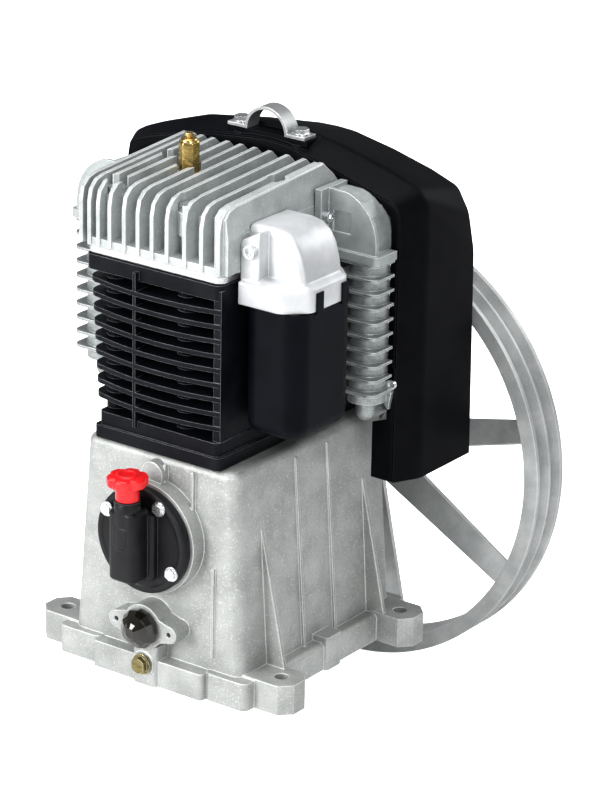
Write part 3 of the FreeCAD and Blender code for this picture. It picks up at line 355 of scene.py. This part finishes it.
def finishOf(name, look):
    # one material from a look: colours, gloss, grain and light edges that are partly wear and partly painted
    # highlight
    material = bpy.data.materials.new(name)
    material.use_nodes = True
    tree = material.node_tree
    shader = tree.nodes["Principled BSDF"]
    shader.inputs["Metallic"].default_value = look.get("metal", 0.0)
    for label, key in (("IOR", "ior"), ("Coat Weight", "coat"), ("Coat Roughness", "coatRough"),
                       ("Transmission Weight", "clear"), ("Specular IOR Level", "shine")):
        if key in look:
            shader.inputs[label].default_value = look[key]
    if "marks" in look:
        skin = useGroup(tree, toolMarks, look["marks"])
        patch, speck = skin.outputs["Streak"], skin.outputs["Streak"]
    else:
        skin = useGroup(tree, castGrain, look["grain"])
        patch, speck = skin.outputs["Mottle"], skin.outputs["Speckle"]
    wire(tree, skin.outputs["Normal"], shader.inputs["Normal"])
    base = blendColours(tree, spread(tree, patch, 0.35, 0.65, 0.0, 1.0), look["dark"], look["light"])
    if "speck" in look:
        base = blendColours(tree, spread(tree, speck, 0.55, 0.75, 0.0, look["speckAmount"]), base,
                            look["speck"])
    # edge colour along sharp edges: partly wear, partly a painted highlight
    if "edge" in look:
        wearAndHighlight = useGroup(tree, edgeWearAndHighlight, look["wearAndHighlight"])
        base = blendColours(tree, wearAndHighlight.outputs["Mask"], base, look["edge"])
        if "edgeMetal" in look:
            wire(tree, spread(tree, wearAndHighlight.outputs["Mask"], 0.0, 1.0, look.get("metal", 0.0),
                              look["edgeMetal"]),
                 shader.inputs["Metallic"])
    wire(tree, base, shader.inputs["Base Color"])
    wire(tree, spread(tree, speck, 0.3, 0.7, look["smooth"], look["rough"]), shader.inputs["Roughness"])
    return material


looks = {
    "caseCasting": {
        "dark": (0.31, 0.32, 0.31), "light": (0.42, 0.43, 0.42), "speck": (0.78, 0.79, 0.78),
        "speckAmount": 0.75, "metal": 0.45, "smooth": 0.42, "rough": 0.60,
        "grain": {"Grain size": 620.0, "Grain depth": 0.7, "Lump depth": 0.15, "Edge radius": 0.0022},
        "edge": (0.92, 0.93, 0.92), "wearAndHighlight": {"Width": 0.0016, "Breakup": 0.3, "Gain": 5.0}},
    "headCasting": {
        "dark": (0.36, 0.38, 0.38), "light": (0.48, 0.50, 0.50), "speck": (0.80, 0.82, 0.81),
        "speckAmount": 0.65, "metal": 0.45, "smooth": 0.38, "rough": 0.60,
        "grain": {"Grain size": 600.0, "Grain depth": 0.65, "Lump depth": 0.25, "Edge radius": 0.0016},
        "edge": (0.95, 0.96, 0.95), "wearAndHighlight": {"Width": 0.0014, "Breakup": 0.25, "Gain": 5.0}},
    "coverCasting": {
        "dark": (0.50, 0.51, 0.52), "light": (0.62, 0.63, 0.64), "speck": (0.84, 0.85, 0.86),
        "speckAmount": 0.5, "metal": 0.45, "smooth": 0.36, "rough": 0.50,
        "grain": {"Grain size": 1600.0, "Grain depth": 0.22, "Lump depth": 0.08, "Edge radius": 0.0025},
        "edge": (0.95, 0.96, 0.96), "wearAndHighlight": {"Width": 0.0012, "Breakup": 0.4, "Gain": 4.0}},
    "elbowCasting": {
        "dark": (0.30, 0.325, 0.32), "light": (0.42, 0.45, 0.445), "speck": (0.62, 0.65, 0.64),
        "speckAmount": 0.45, "metal": 0.45, "smooth": 0.36, "rough": 0.52,
        "grain": {"Grain size": 700.0, "Grain depth": 0.35, "Lump depth": 0.12, "Edge radius": 0.0012},
        "edge": (0.92, 0.94, 0.93), "wearAndHighlight": {"Width": 0.0011, "Breakup": 0.3, "Gain": 5.0}},
    # the near-white edge colour on the tube fins is a painted highlight on their lit front edges
    "finAluminium": {
        "dark": (0.26, 0.28, 0.28), "light": (0.40, 0.42, 0.42), "metal": 0.55, "smooth": 0.34,
        "rough": 0.50,
        "marks": {"Pitch": 700.0, "Depth": 0.15, "Edge radius": 0.0006},
        "edge": (0.95, 0.96, 0.96), "wearAndHighlight": {"Width": 0.0010, "Breakup": 0.2, "Gain": 6.0}},
    "turnedAluminium": {
        "dark": (0.60, 0.61, 0.62), "light": (0.74, 0.75, 0.76), "metal": 0.95, "smooth": 0.22,
        "rough": 0.38,
        "marks": {"Pitch": 1100.0, "Depth": 0.15, "Edge radius": 0.0006}},
    # the light edge colour on the black block fins is a painted highlight line along each fin
    "blackBlock": {
        "dark": (0.003, 0.0036, 0.0056), "light": (0.007, 0.008, 0.011), "metal": 0.0, "smooth": 0.42,
        "rough": 0.60, "shine": 0.25, "ior": 1.35,
        "grain": {"Grain size": 900.0, "Grain depth": 0.3, "Lump depth": 0.25, "Edge radius": 0.0009},
        "edge": (0.46, 0.48, 0.50), "wearAndHighlight": {"Width": 0.0008, "Breakup": 0.8, "Gain": 4.6}},
    "blackShroud": {
        "dark": (0.0012, 0.0015, 0.0024), "light": (0.0030, 0.0034, 0.0048), "metal": 0.0, "smooth": 0.44,
        "rough": 0.58, "shine": 0.22, "ior": 1.28,
        "grain": {"Grain size": 2200.0, "Grain depth": 0.15, "Lump depth": 0.06, "Edge radius": 0.0015},
        "edge": (0.05, 0.054, 0.058), "wearAndHighlight": {"Width": 0.001, "Breakup": 0.3, "Gain": 3.0}},
    "blackCover": {
        "dark": (0.006, 0.006, 0.007), "light": (0.012, 0.012, 0.014), "metal": 0.0, "smooth": 0.34,
        "rough": 0.48, "shine": 0.3,
        "grain": {"Grain size": 1300.0, "Grain depth": 0.2, "Lump depth": 0.1, "Edge radius": 0.0016},
        "edge": (0.12, 0.12, 0.13), "wearAndHighlight": {"Width": 0.001, "Breakup": 0.4, "Gain": 2.5}},
    "bowlPlastic": {
        "dark": (0.0014, 0.0018, 0.0036), "light": (0.0034, 0.0042, 0.0075), "metal": 0.0, "smooth": 0.38,
        "rough": 0.50, "shine": 0.25, "ior": 1.30,
        "grain": {"Grain size": 1800.0, "Grain depth": 0.15, "Lump depth": 0.05, "Edge radius": 0.0015}},
    "redPlastic": {
        "dark": (0.62, 0.010, 0.014), "light": (0.74, 0.018, 0.022), "metal": 0.0, "smooth": 0.24,
        "rough": 0.36,
        "grain": {"Grain size": 1500.0, "Grain depth": 0.08, "Lump depth": 0.05, "Edge radius": 0.0012},
        "edge": (0.85, 0.10, 0.10), "wearAndHighlight": {"Width": 0.0012, "Breakup": 0.4, "Gain": 2.0}},
    "gasketSheet": {
        "dark": (0.035, 0.036, 0.038), "light": (0.075, 0.077, 0.080), "metal": 0.0, "smooth": 0.65,
        "rough": 0.85,
        "grain": {"Grain size": 900.0, "Grain depth": 0.4, "Lump depth": 0.1, "Edge radius": 0.0002}},
    "sealRubber": {
        "dark": (0.012, 0.012, 0.012), "light": (0.022, 0.022, 0.022), "metal": 0.0, "smooth": 0.5,
        "rough": 0.7,
        "grain": {"Grain size": 1600.0, "Grain depth": 0.15, "Lump depth": 0.05, "Edge radius": 0.0003}},
    "zincSteel": {
        "dark": (0.64, 0.65, 0.66), "light": (0.82, 0.83, 0.84), "metal": 1.0, "smooth": 0.18,
        "rough": 0.34,
        "grain": {"Grain size": 1200.0, "Grain depth": 0.12, "Lump depth": 0.1, "Edge radius": 0.0006},
        "edge": (0.96, 0.96, 0.96), "wearAndHighlight": {"Width": 0.0006, "Breakup": 0.3, "Gain": 3.0}},
    "bearingSteel": {
        "dark": (0.55, 0.55, 0.56), "light": (0.68, 0.68, 0.69), "metal": 1.0, "smooth": 0.12,
        "rough": 0.24,
        "marks": {"Pitch": 1500.0, "Depth": 0.08, "Edge radius": 0.0004}},
    "springSteel": {
        "dark": (0.38, 0.38, 0.40), "light": (0.52, 0.52, 0.54), "metal": 1.0, "smooth": 0.22,
        "rough": 0.38,
        "marks": {"Pitch": 1400.0, "Depth": 0.12, "Edge radius": 0.0002}},
    "forgedSteel": {
        "dark": (0.24, 0.24, 0.25), "light": (0.38, 0.38, 0.39), "metal": 0.95, "smooth": 0.30,
        "rough": 0.5,
        "grain": {"Grain size": 800.0, "Grain depth": 0.25, "Lump depth": 0.3, "Edge radius": 0.0012}},
    "strapSteel": {
        "dark": (0.36, 0.37, 0.37), "light": (0.47, 0.48, 0.48), "metal": 0.85, "smooth": 0.34,
        "rough": 0.50,
        "grain": {"Grain size": 1500.0, "Grain depth": 0.25, "Lump depth": 0.1, "Edge radius": 0.0006},
        "edge": (0.95, 0.95, 0.95), "wearAndHighlight": {"Width": 0.0009, "Breakup": 0.2, "Gain": 5.0}},
    "wheelIron": {
        "dark": (0.36, 0.37, 0.37), "light": (0.50, 0.51, 0.51), "speck": (0.70, 0.71, 0.71),
        "speckAmount": 0.5, "metal": 0.45, "smooth": 0.38, "rough": 0.55,
        "grain": {"Grain size": 600.0, "Grain depth": 0.6, "Lump depth": 0.15, "Edge radius": 0.0012},
        "edge": (0.93, 0.94, 0.93), "wearAndHighlight": {"Width": 0.0012, "Breakup": 0.3, "Gain": 4.0}},
    "valveBrass": {
        "dark": (0.48, 0.34, 0.11), "light": (0.66, 0.49, 0.20), "metal": 1.0, "smooth": 0.18,
        "rough": 0.32,
        "marks": {"Pitch": 900.0, "Depth": 0.12, "Edge radius": 0.0008},
        "edge": (0.98, 0.88, 0.62), "wearAndHighlight": {"Width": 0.0009, "Breakup": 0.1, "Gain": 5.0}},
    "dullBrass": {
        "dark": (0.17, 0.14, 0.06), "light": (0.30, 0.26, 0.13), "metal": 0.9, "smooth": 0.24,
        "rough": 0.40,
        "marks": {"Pitch": 900.0, "Depth": 0.2, "Edge radius": 0.0008},
        "edge": (0.85, 0.82, 0.62), "wearAndHighlight": {"Width": 0.0009, "Breakup": 0.2, "Gain": 4.0}},
    "amberGlass": {
        "dark": (0.007, 0.0065, 0.0045), "light": (0.015, 0.013, 0.008), "metal": 0.0, "clear": 0.12,
        "ior": 1.49,
        "smooth": 0.04, "rough": 0.10, "coat": 0.6, "coatRough": 0.04,
        "grain": {"Grain size": 700.0, "Grain depth": 0.03, "Lump depth": 0.02, "Edge radius": 0.0004}},
    "filterPaper": {
        "dark": (0.52, 0.47, 0.36), "light": (0.66, 0.60, 0.48), "metal": 0.0, "smooth": 0.75, "rough": 0.9,
        "grain": {"Grain size": 700.0, "Grain depth": 0.5, "Lump depth": 0.3, "Edge radius": 0.0004}},
}
finishes = {name: finishOf(name, look) for name, look in looks.items()}
print("finishes built:", len(finishes))

# which finish each carried-over CAD node wears
wears = {
    "caseCasting": ("crankcase", "rear_housing"),
    "headCasting": ("cylinder_head",),
    "coverCasting": ("filter_cover",),
    "elbowCasting": ("right_elbow", "left_elbow"),
    "finAluminium": ("right_cooler_tube", "left_cooler_tube", "crossover_pipe"),
    "turnedAluminium": ("stage1_piston", "stage2_piston", "valve_plate"),
    "blackBlock": ("cylinder_block",),
    "blackShroud": ("shroud",),
    "blackCover": ("front_cover",),
    "bowlPlastic": ("filter_bowl", "filter_clips"),
    "redPlastic": ("filler_cap",),
    "gasketSheet": ("base_gasket", "lower_head_gasket", "upper_head_gasket", "cover_gasket",
                    "elbow_gaskets"),
    "sealRubber": ("cap_seal", "sight_seal", "oil_seal"),
    "zincSteel": ("head_bolts", "cover_bolts", "filter_bolts", "elbow_bolts", "shroud_screws",
                  "strap_bolts",
                  "housing_bolts", "flywheel_bolt", "flywheel_key"),
    "bearingSteel": ("bearing_outer_rings", "bearing_inner_rings", "bearing_balls", "stage1_wrist_pin",
                     "stage2_wrist_pin"),
    "springSteel": ("reed_valves", "safety_spring", "stage1_rings", "stage2_rings"),
    "forgedSteel": ("crankshaft", "stage1_web_plug", "stage2_web_plug", "stage1_big_end", "stage2_big_end",
                    "stage1_rod", "stage2_rod"),
    "strapSteel": ("lifting_strap",),
    "wheelIron": ("flywheel",),
    "valveBrass": ("safety_valve_body", "valve_poppet", "outlet_fitting"),
    "dullBrass": ("drain_plug",),
    "amberGlass": ("sight_glass",),
    "filterPaper": ("filter_element",),
}
dressed = set()
for finish, members in wears.items():
    for member in members:
        mesh = nodes[member].data
        mesh.materials.clear()
        mesh.materials.append(finishes[finish])
        dressed.add(member)
print("left undressed:", sorted(set(nodes) - dressed))


# pieces modelled here

def lathed(name, profile, centre, axis="z", sides=64):
    # a turned shape grown ring by ring; profile is (radius, height) along +z or -y
    along = Vector((0, 0, 1)) if axis == "z" else Vector((0, -1, 0))
    spin = (0, 0, 0) if axis == "z" else (math.pi / 2, 0, 0)
    radius, height = profile[0]
    clearSelection()
    bpy.ops.mesh.primitive_circle_add(vertices=sides, radius=radius * mm, fill_type="NGON",
                                      location=(Vector(centre) + along * height) * mm, rotation=spin)
    piece = takeNew(name)
    bpy.ops.object.mode_set(mode="EDIT")
    bpy.ops.mesh.select_mode(type="FACE")
    bpy.ops.mesh.select_all(action="SELECT")
    for nextRadius, nextHeight in profile[1:]:
        bpy.ops.mesh.extrude_region_move(TRANSFORM_OT_translate={"value": along * (nextHeight - height) * mm})
        grow = nextRadius / radius
        scale = (grow, grow, 1) if axis == "z" else (grow, 1, grow)
        middle = (Vector(centre) + along * nextHeight) * mm
        bpy.ops.transform.resize(value=scale, center_override=middle)
        radius, height = nextRadius, nextHeight
    bpy.ops.object.mode_set(mode="OBJECT")
    settled(piece)
    outward(piece)
    return piece


def blocked(name, low, high, bevel=1.0, segments=3):
    # a rounded block between two corners
    low, high = Vector(low), Vector(high)
    clearSelection()
    bpy.ops.mesh.primitive_cube_add(size=1, location=(low + high) / 2 * mm, scale=(high - low) * mm)
    piece = takeNew(name)
    settled(piece)
    if bevel:
        applied(piece, "BEVEL", "edge rounding", width=bevel * mm, segments=segments, limit_method="NONE")
    return piece


def carved(piece, cutter):
    # take the cutter's room out of the piece
    applied(piece, "BOOLEAN", "room", operation="DIFFERENCE", solver="EXACT", object=cutter)
    bpy.data.objects.remove(cutter)


fillerCap = {"centre": (0, -162, 192.5), "lobes": 6, "lobeTurn": 20,
             "valleys": ((13, 0.94), (8, 0.93), (3, 0.83 / 0.94 / 0.93)),  # half width in degrees, squeeze
             "profile": ((8.1, -17.9), (8.1, 0.1), (11.0, 0.1), (11.0, 13.2), (12.5, 14.0), (17.2, 14.0),
                         (19.0, 15.6), (19.0, 19.0), (19.0, 22.2), (17.4, 23.9), (10.4, 23.9), (9.4, 25.4),
                         (7.2, 25.4), (6.4, 24.6))}


def makeFillerCap():
    # the red cap: lobed knob on a plain neck, dished on top
    cx, cy, cz = fillerCap["centre"]
    knob = lathed("fillerCapKnob", fillerCap["profile"], fillerCap["centre"], sides=72)
    step = 360 / fillerCap["lobes"]
    for reach, squeeze in fillerCap["valleys"]:
        editing(knob, "VERT")

        def inValley(at):
            turn = (math.degrees(math.atan2(at.y - cy, at.x - cx)) - fillerCap["lobeTurn"]) % step
            off = min(turn, step - turn)
            return at.z > cz + 14.5 and math.hypot(at.x - cx, at.y - cy) > 11.5 and off < reach
        pickPoints(knob, inValley)
        middle = Vector((cx, cy, cz + 19)) * mm
        bpy.ops.transform.resize(value=(squeeze, squeeze, 1), center_override=middle)
        bpy.ops.object.mode_set(mode="OBJECT")
    softened(knob, 0.7, 3, 28)
    finished(knob, "filler_cap", "red_plastic", finishes["redPlastic"], "filler_cap")


makeFillerCap()
print("filler cap made")


oilCover = {"axis": (0, 0, 146), "filler": (0, -162), "step": ((-20, -151, 112), (20, -140, 177)),
            "body": ((-14.5, -173.5, 117), (14.5, -148, 181)), "bodyChamfer": 5.5,
            "panel": ((-7.5, -174.3, 150), (7.5, -173, 168)),
            "disc": ((33.0, 124.5), (39.6, 124.5), (39.6, 134.6), (50.6, 134.6), (50.8, 142.0),
                     (49.2, 143.9), (44.6, 144.0), (43.8, 143.2), (30.0, 143.2)),
            "neck": ((12.4, 0), (12.4, 38), (12.0, 43.6), (11.4, 45), (8.6, 45), (8.2, 44.2), (8.2, 27))}


def makeOilCover():
    # black cover: rimmed disc, chamfered filler body standing on it, round neck
    cx, cy = oilCover["filler"]
    disc = lathed("coverDisc", oilCover["disc"], oilCover["axis"], "y", 96)
    shell = blocked("coverStep", *oilCover["step"], 4.0, 3)
    body = blocked("coverBody", *oilCover["body"], 0)
    chamfered(body, lambda a, b: a.y < cy and b.y < cy and abs(a.x - b.x) < 0.1, oilCover["bodyChamfer"], 2)
    insetEnds(body, lambda at, normal: abs(normal.z) > 0.9, 2.0, 2.4)
    softened(body, 1.0, 3, 25)
    neck = lathed("coverNeck", oilCover["neck"], (cx, cy, 146), sides=64)
    softened(neck, 0.5, 2, 30)
    softened(disc, 0.6, 2, 30)
    # plain raised panel on the front of the body
    panel = blocked("coverPanel", *oilCover["panel"], 0.5, 2)
    cover = joined("oilCover", [disc, shell, body, neck, panel])
    smoothed(cover, 35)
    finished(cover, "pump", "black_plastic", finishes["blackCover"], "front_cover")


makeOilCover()
print("oil cover made")


airShroud = {"x": -12, "y": (60, 86, 168), "wall": 3.0, "bend": 6.0, "foldAngle": 7,
             "strapSeat": ((-62.4, 63, 473), (29.4, 84.8, 482)),
             "seatRoom": ((-62.5, 55, 482), (29.5, 80, 520)),
             "screwTab": ((128, 60, 256), (136, 63, 286)), "strapCentre": (-16.5, 70, 482),
             "bossSpread": (-34, 34), "boss": ((7.0, -15), (8.4, -14), (8.4, -6)),
             "right": (((149, 173), (149, 428), (147, 438), (140, 444.5), (110, 452), (66, 465),
                        (20, 475.5), (0, 477)),
                       ((162, 173), (162, 436), (159, 447), (150, 454), (114, 466), (66, 478), (20, 486),
                        (0, 487)),
                       ((162, 173), (159, 375), (152, 411), (139, 433), (110, 443.5), (66, 455), (20, 464),
                        (0, 465))),
             "left": (((165, 173), (166, 430), (163, 446), (142, 454), (110, 462), (66, 471), (20, 476)),
                      ((180, 173), (181, 434), (177, 446), (166, 453), (142, 462), (92, 478), (30, 487)),
                      ((180, 173), (177, 375), (169, 411), (155, 433), (128, 447), (84, 458), (20, 464.5)))}


# a black lip that fills the shroud's front opening up to the tubes and head, as painted shade
shadeFillLip = {"y": (60.0, 61.4),
            # outer edge just inside the wall, inner edge close to the tubes and the head
            "outer": ((134.6, 173.2), (134.8, 427), (133, 437), (127, 442.6), (98, 450), (54, 463),
                      (8, 473.4), (-12, 475), (-32, 474), (-78, 469), (-122, 460), (-154, 452),
                      (-174, 444.5), (-175.6, 430), (-175, 173.2)),
            "inner": ((-154, 173.2), (-154, 228), (-166, 234), (-168, 424), (-166, 437), (-152, 445),
                      (-122, 452.6), (-90, 456), (-32, 456.5), (-12, 456.5), (30, 456.5), (54, 454),
                      (92, 446), (116, 439), (126, 430), (127.6, 420), (127.6, 234), (112, 228),
                      (112, 173.2))}


def makeShadeFillLip():
    # turned-in lip round the front opening, wider at both feet; this black sheet fills the opening with
    # painted shade where the inside of the shroud lies in shadow
    low, high = shadeFillLip["y"]
    outline = [(x, low, z) for x, z in shadeFillLip["outer"]] + [(x, low, z) for x, z in shadeFillLip["inner"]]
    lip = drawSlab("shadeFillLip", outline, (0, high - low, 0))
    applied(lip, "BEVEL", "edge rounding", width=0.5 * mm, segments=2, limit_method="ANGLE",
            angle_limit=math.radians(40))
    return lip


def makeAirShroud():
    # black air shroud: three bent lines bridged into one band, folds rounded, then given its wall
    x = airShroud["x"]
    lines = []
    for y, right, left in zip(airShroud["y"], airShroud["right"], airShroud["left"]):
        points = [(x - dx, y, z) for dx, z in left] + [(x + dx, y, z) for dx, z in reversed(right)]
        lines.append(drawLine("shroudLine", points))
    shell = joined("airShroud", lines)
    editing(shell, "EDGE")
    bpy.ops.mesh.select_all(action="SELECT")
    bpy.ops.mesh.bridge_edge_loops(type="SINGLE")
    bpy.ops.object.mode_set(mode="OBJECT")
    outward(shell)
    crown = max(shell.data.polygons, key=lambda poly: poly.center.z)
    if crown.normal.z < 0:
        editing(shell)
        bpy.ops.mesh.select_all(action="SELECT")
        bpy.ops.mesh.flip_normals()
        bpy.ops.object.mode_set(mode="OBJECT")
    applied(shell, "BEVEL", "fold", width=airShroud["bend"] * mm, segments=4, limit_method="ANGLE",
            angle_limit=math.radians(airShroud["foldAngle"]), use_clamp_overlap=True)
    applied(shell, "SOLIDIFY", "wall", thickness=airShroud["wall"] * mm, offset=-1.0, use_even_offset=True)
    carved(shell, blocked("seatRoom", *airShroud["seatRoom"], 0))
    parts = [shell, blocked("strapSeat", *airShroud["strapSeat"], 0.6, 2),
             # the lip is a black sheet of painted shade in the front opening
             makeShadeFillLip(),
             blocked("screwTab", *airShroud["screwTab"], 1.2, 3)]
    x, y, z = airShroud["strapCentre"]
    for side in airShroud["bossSpread"]:
        parts.append(lathed("seatBoss", airShroud["boss"], (x + side, y, z), sides=40))
    whole = joined("airShroud", parts)
    smoothed(whole, 38)
    finished(whole, "pump", "black_plastic", finishes["blackShroud"], "shroud")


makeAirShroud()
print("air shroud made")


intakeCover = {"band": ((71, -95), (118, -95), (138, -75), (138, -22), (118, -2), (71, -2)), "low": 376.6,
               "rise": 21,
               "hood": ((71.2, 396), (71.2, 447), (98, 447), (110, 444.6), (119, 438), (125, 428),
                        (129, 414), (132, 396)),
               "hoodFrom": -78, "hoodTo": -18, "lugFrom": -92, "lugTo": -77,
               "lug": ((71.3, 398), (92, 398), (92, 446), (74, 437), (71.3, 434))}


def makeIntakeCover():
    # filter cover: cornered band with a sloping roof, hood over the duct, small lug for the screw
    outline = [(x, y, intakeCover["low"]) for x, y in intakeCover["band"]]
    band = drawSlab("coverBand", outline, (0, 0, intakeCover["rise"]))
    chamfered(band, lambda a, b: abs(a.z - b.z) > 5 and a.x > 100, 6, 4)
    insetEnds(band, lambda at, normal: normal.z > 0.9, 7, 4.6)
    softened(band, 1.1, 3, 18)
    low, high = intakeCover["hoodFrom"], intakeCover["hoodTo"]
    hood = drawSlab("coverHood", [(x, low, z) for x, z in intakeCover["hood"]], (0, high - low, 0))

    def onHoodRim(a, b):
        return abs(a.y - b.y) < 0.1 and min(a.z, b.z) > 395 and max(a.x, b.x) > 72 and max(a.z, b.z) > 400
    chamfered(hood, onHoodRim, 6.5, 5)
    low, high = intakeCover["lugFrom"], intakeCover["lugTo"]
    lug = drawSlab("coverLug", [(x, low, z) for x, z in intakeCover["lug"]], (0, high - low, 0))
    softened(lug, 1.2, 3, 20)
    cover = joined("intakeCover", [band, hood, lug])
    smoothed(cover, 32)
    finished(cover, "pump", "cast_aluminium", finishes["coverCasting"], "filter_cover")


makeIntakeCover()
print("intake cover made")


reliefValve = {"at": (-35.0, -30.0, 462), "hex": ((9.8, 0.2), (9.8, 27.5), (9.4, 29.5), (8.2, 31)),
               "collar": ((7.9, -21.8), (7.9, 0.4), (7.9, 29.6), (8.0, 31.4), (7.0, 32.9), (4.6, 32.9),
                          (3.3, 32.2), (3.3, 28))}


def makeReliefValve():
    # brass relief valve: six-sided body with a turned collar on top
    hexagon = lathed("valveHexagon", reliefValve["hex"], reliefValve["at"], sides=6)
    softened(hexagon, 0.5, 3, 25)
    collar = lathed("valveCollar", reliefValve["collar"], reliefValve["at"], sides=48)
    softened(collar, 0.3, 2, 30)
    valve = joined("reliefValve", [hexagon, collar])
    smoothed(valve, 30)
    finished(valve, "pump", "brass", finishes["valveBrass"], "safety_valve_body")


makeReliefValve()
print("relief valve made")


# stage, light, camera

stage = {"floorZ": -75.0, "floorSize": 30.0, "floorColour": (0.86, 0.86, 0.86), "floorGlow": 0.98,
         "worldLight": 0.22, "sky": (0.95, 0.97, 1.0)}


def buildStage():
    clearSelection()
    bpy.ops.mesh.primitive_plane_add(size=stage["floorSize"], location=(0, 0, stage["floorZ"] * mm))
    floor = takeNew("floor")
    paint = bpy.data.materials.new("paleFloor")
    paint.use_nodes = True
    tree = paint.node_tree
    shader = tree.nodes["Principled BSDF"]
    shader.inputs["Roughness"].default_value = 0.9
    noise = place(tree, "ShaderNodeTexNoise", Scale=3.0)
    tint = blendColours(tree, noise.outputs["Fac"], stage["floorColour"], (0.88, 0.88, 0.88))
    wire(tree, tint, shader.inputs["Base Color"])
    # paper sweep: evenly white to the eye, only softly bright to the object
    rays = place(tree, "ShaderNodeLightPath")
    glow = place(tree, "ShaderNodeMath", operation="MULTIPLY")
    glow.inputs[1].default_value = stage["floorGlow"]
    wire(tree, rays.outputs["Is Camera Ray"], glow.inputs[0])
    wire(tree, glow.outputs[0], shader.inputs["Emission Strength"])
    shader.inputs["Emission Color"].default_value = (1, 1, 1, 1)
    floor.data.materials.append(paint)


def buildWorld():
    world = bpy.data.worlds.new("softStudio")
    bpy.context.scene.world = world
    world.use_nodes = True
    shade = world.node_tree.nodes["Background"]
    shade.inputs["Color"].default_value = (*stage["sky"], 1.0)
    shade.inputs["Strength"].default_value = stage["worldLight"]


lamps = {  # where each soft box stands and aims (metres), its size and its power
    "frontLeftBox": {"at": (-1.1, -2.9, 1.3), "aim": (0, 0, 0.25), "size": (1.6, 1.6), "power": 104},
    "topBox": {"at": (-0.2, -0.2, 2.6), "aim": (0, 0, 0.3), "size": (2.0, 2.0), "power": 50},
    "rightBox": {"at": (2.6, -0.9, 0.9), "aim": (0, 0, 0.25), "size": (1.2, 1.8), "power": 10},
    "flankBox": {"at": (1.0, -0.9, 1.05), "aim": (0.07, 0, 0.43), "size": (0.4, 0.4), "power": 7},
    "backBox": {"at": (1.2, 2.6, 1.6), "aim": (0, 0, 0.3), "size": (2.0, 1.6), "power": 26},
}


def softBox(name, lamp):
    light = bpy.data.lights.new(name, "AREA")
    light.shape = "RECTANGLE"
    light.size, light.size_y = lamp["size"]
    light.energy = lamp["power"]
    box = bpy.data.objects.new(name, light)
    bpy.context.scene.collection.objects.link(box)
    box.location = lamp["at"]
    box.rotation_euler = (Vector(lamp["aim"]) - Vector(lamp["at"])).to_track_quat("-Z", "Y").to_euler()


camera = {"azimuth": 35.97, "elevation": 20.82, "roll": 1.06, "distance": 3.374,
          "target": (0.067363, 0.0, 0.260486), "lens": 167.154}


def buildCamera():
    a = math.radians(camera["azimuth"])
    e = math.radians(camera["elevation"])
    back = Vector((math.sin(a) * math.cos(e), -math.cos(a) * math.cos(e), math.sin(e)))
    lens = bpy.data.cameras.new("camera")
    lens.lens = camera["lens"]
    lens.sensor_width = 36.0
    lens.clip_start, lens.clip_end = 0.1, 60.0
    eye = bpy.data.objects.new("camera", lens)
    bpy.context.scene.collection.objects.link(eye)
    eye.location = Vector(camera["target"]) + back * camera["distance"]
    level = (-back).to_track_quat("-Z", "Y")
    eye.rotation_euler = (level @ Quaternion((0, 0, 1), math.radians(camera["roll"]))).to_euler()
    bpy.context.scene.camera = eye


buildStage()
buildWorld()
for name, lamp in lamps.items():
    softBox(name, lamp)
buildCamera()
bpy.context.scene.view_settings.view_transform = "Standard"
bpy.context.scene.view_settings.look = "Medium High Contrast"
print("stage, lights and camera ready")
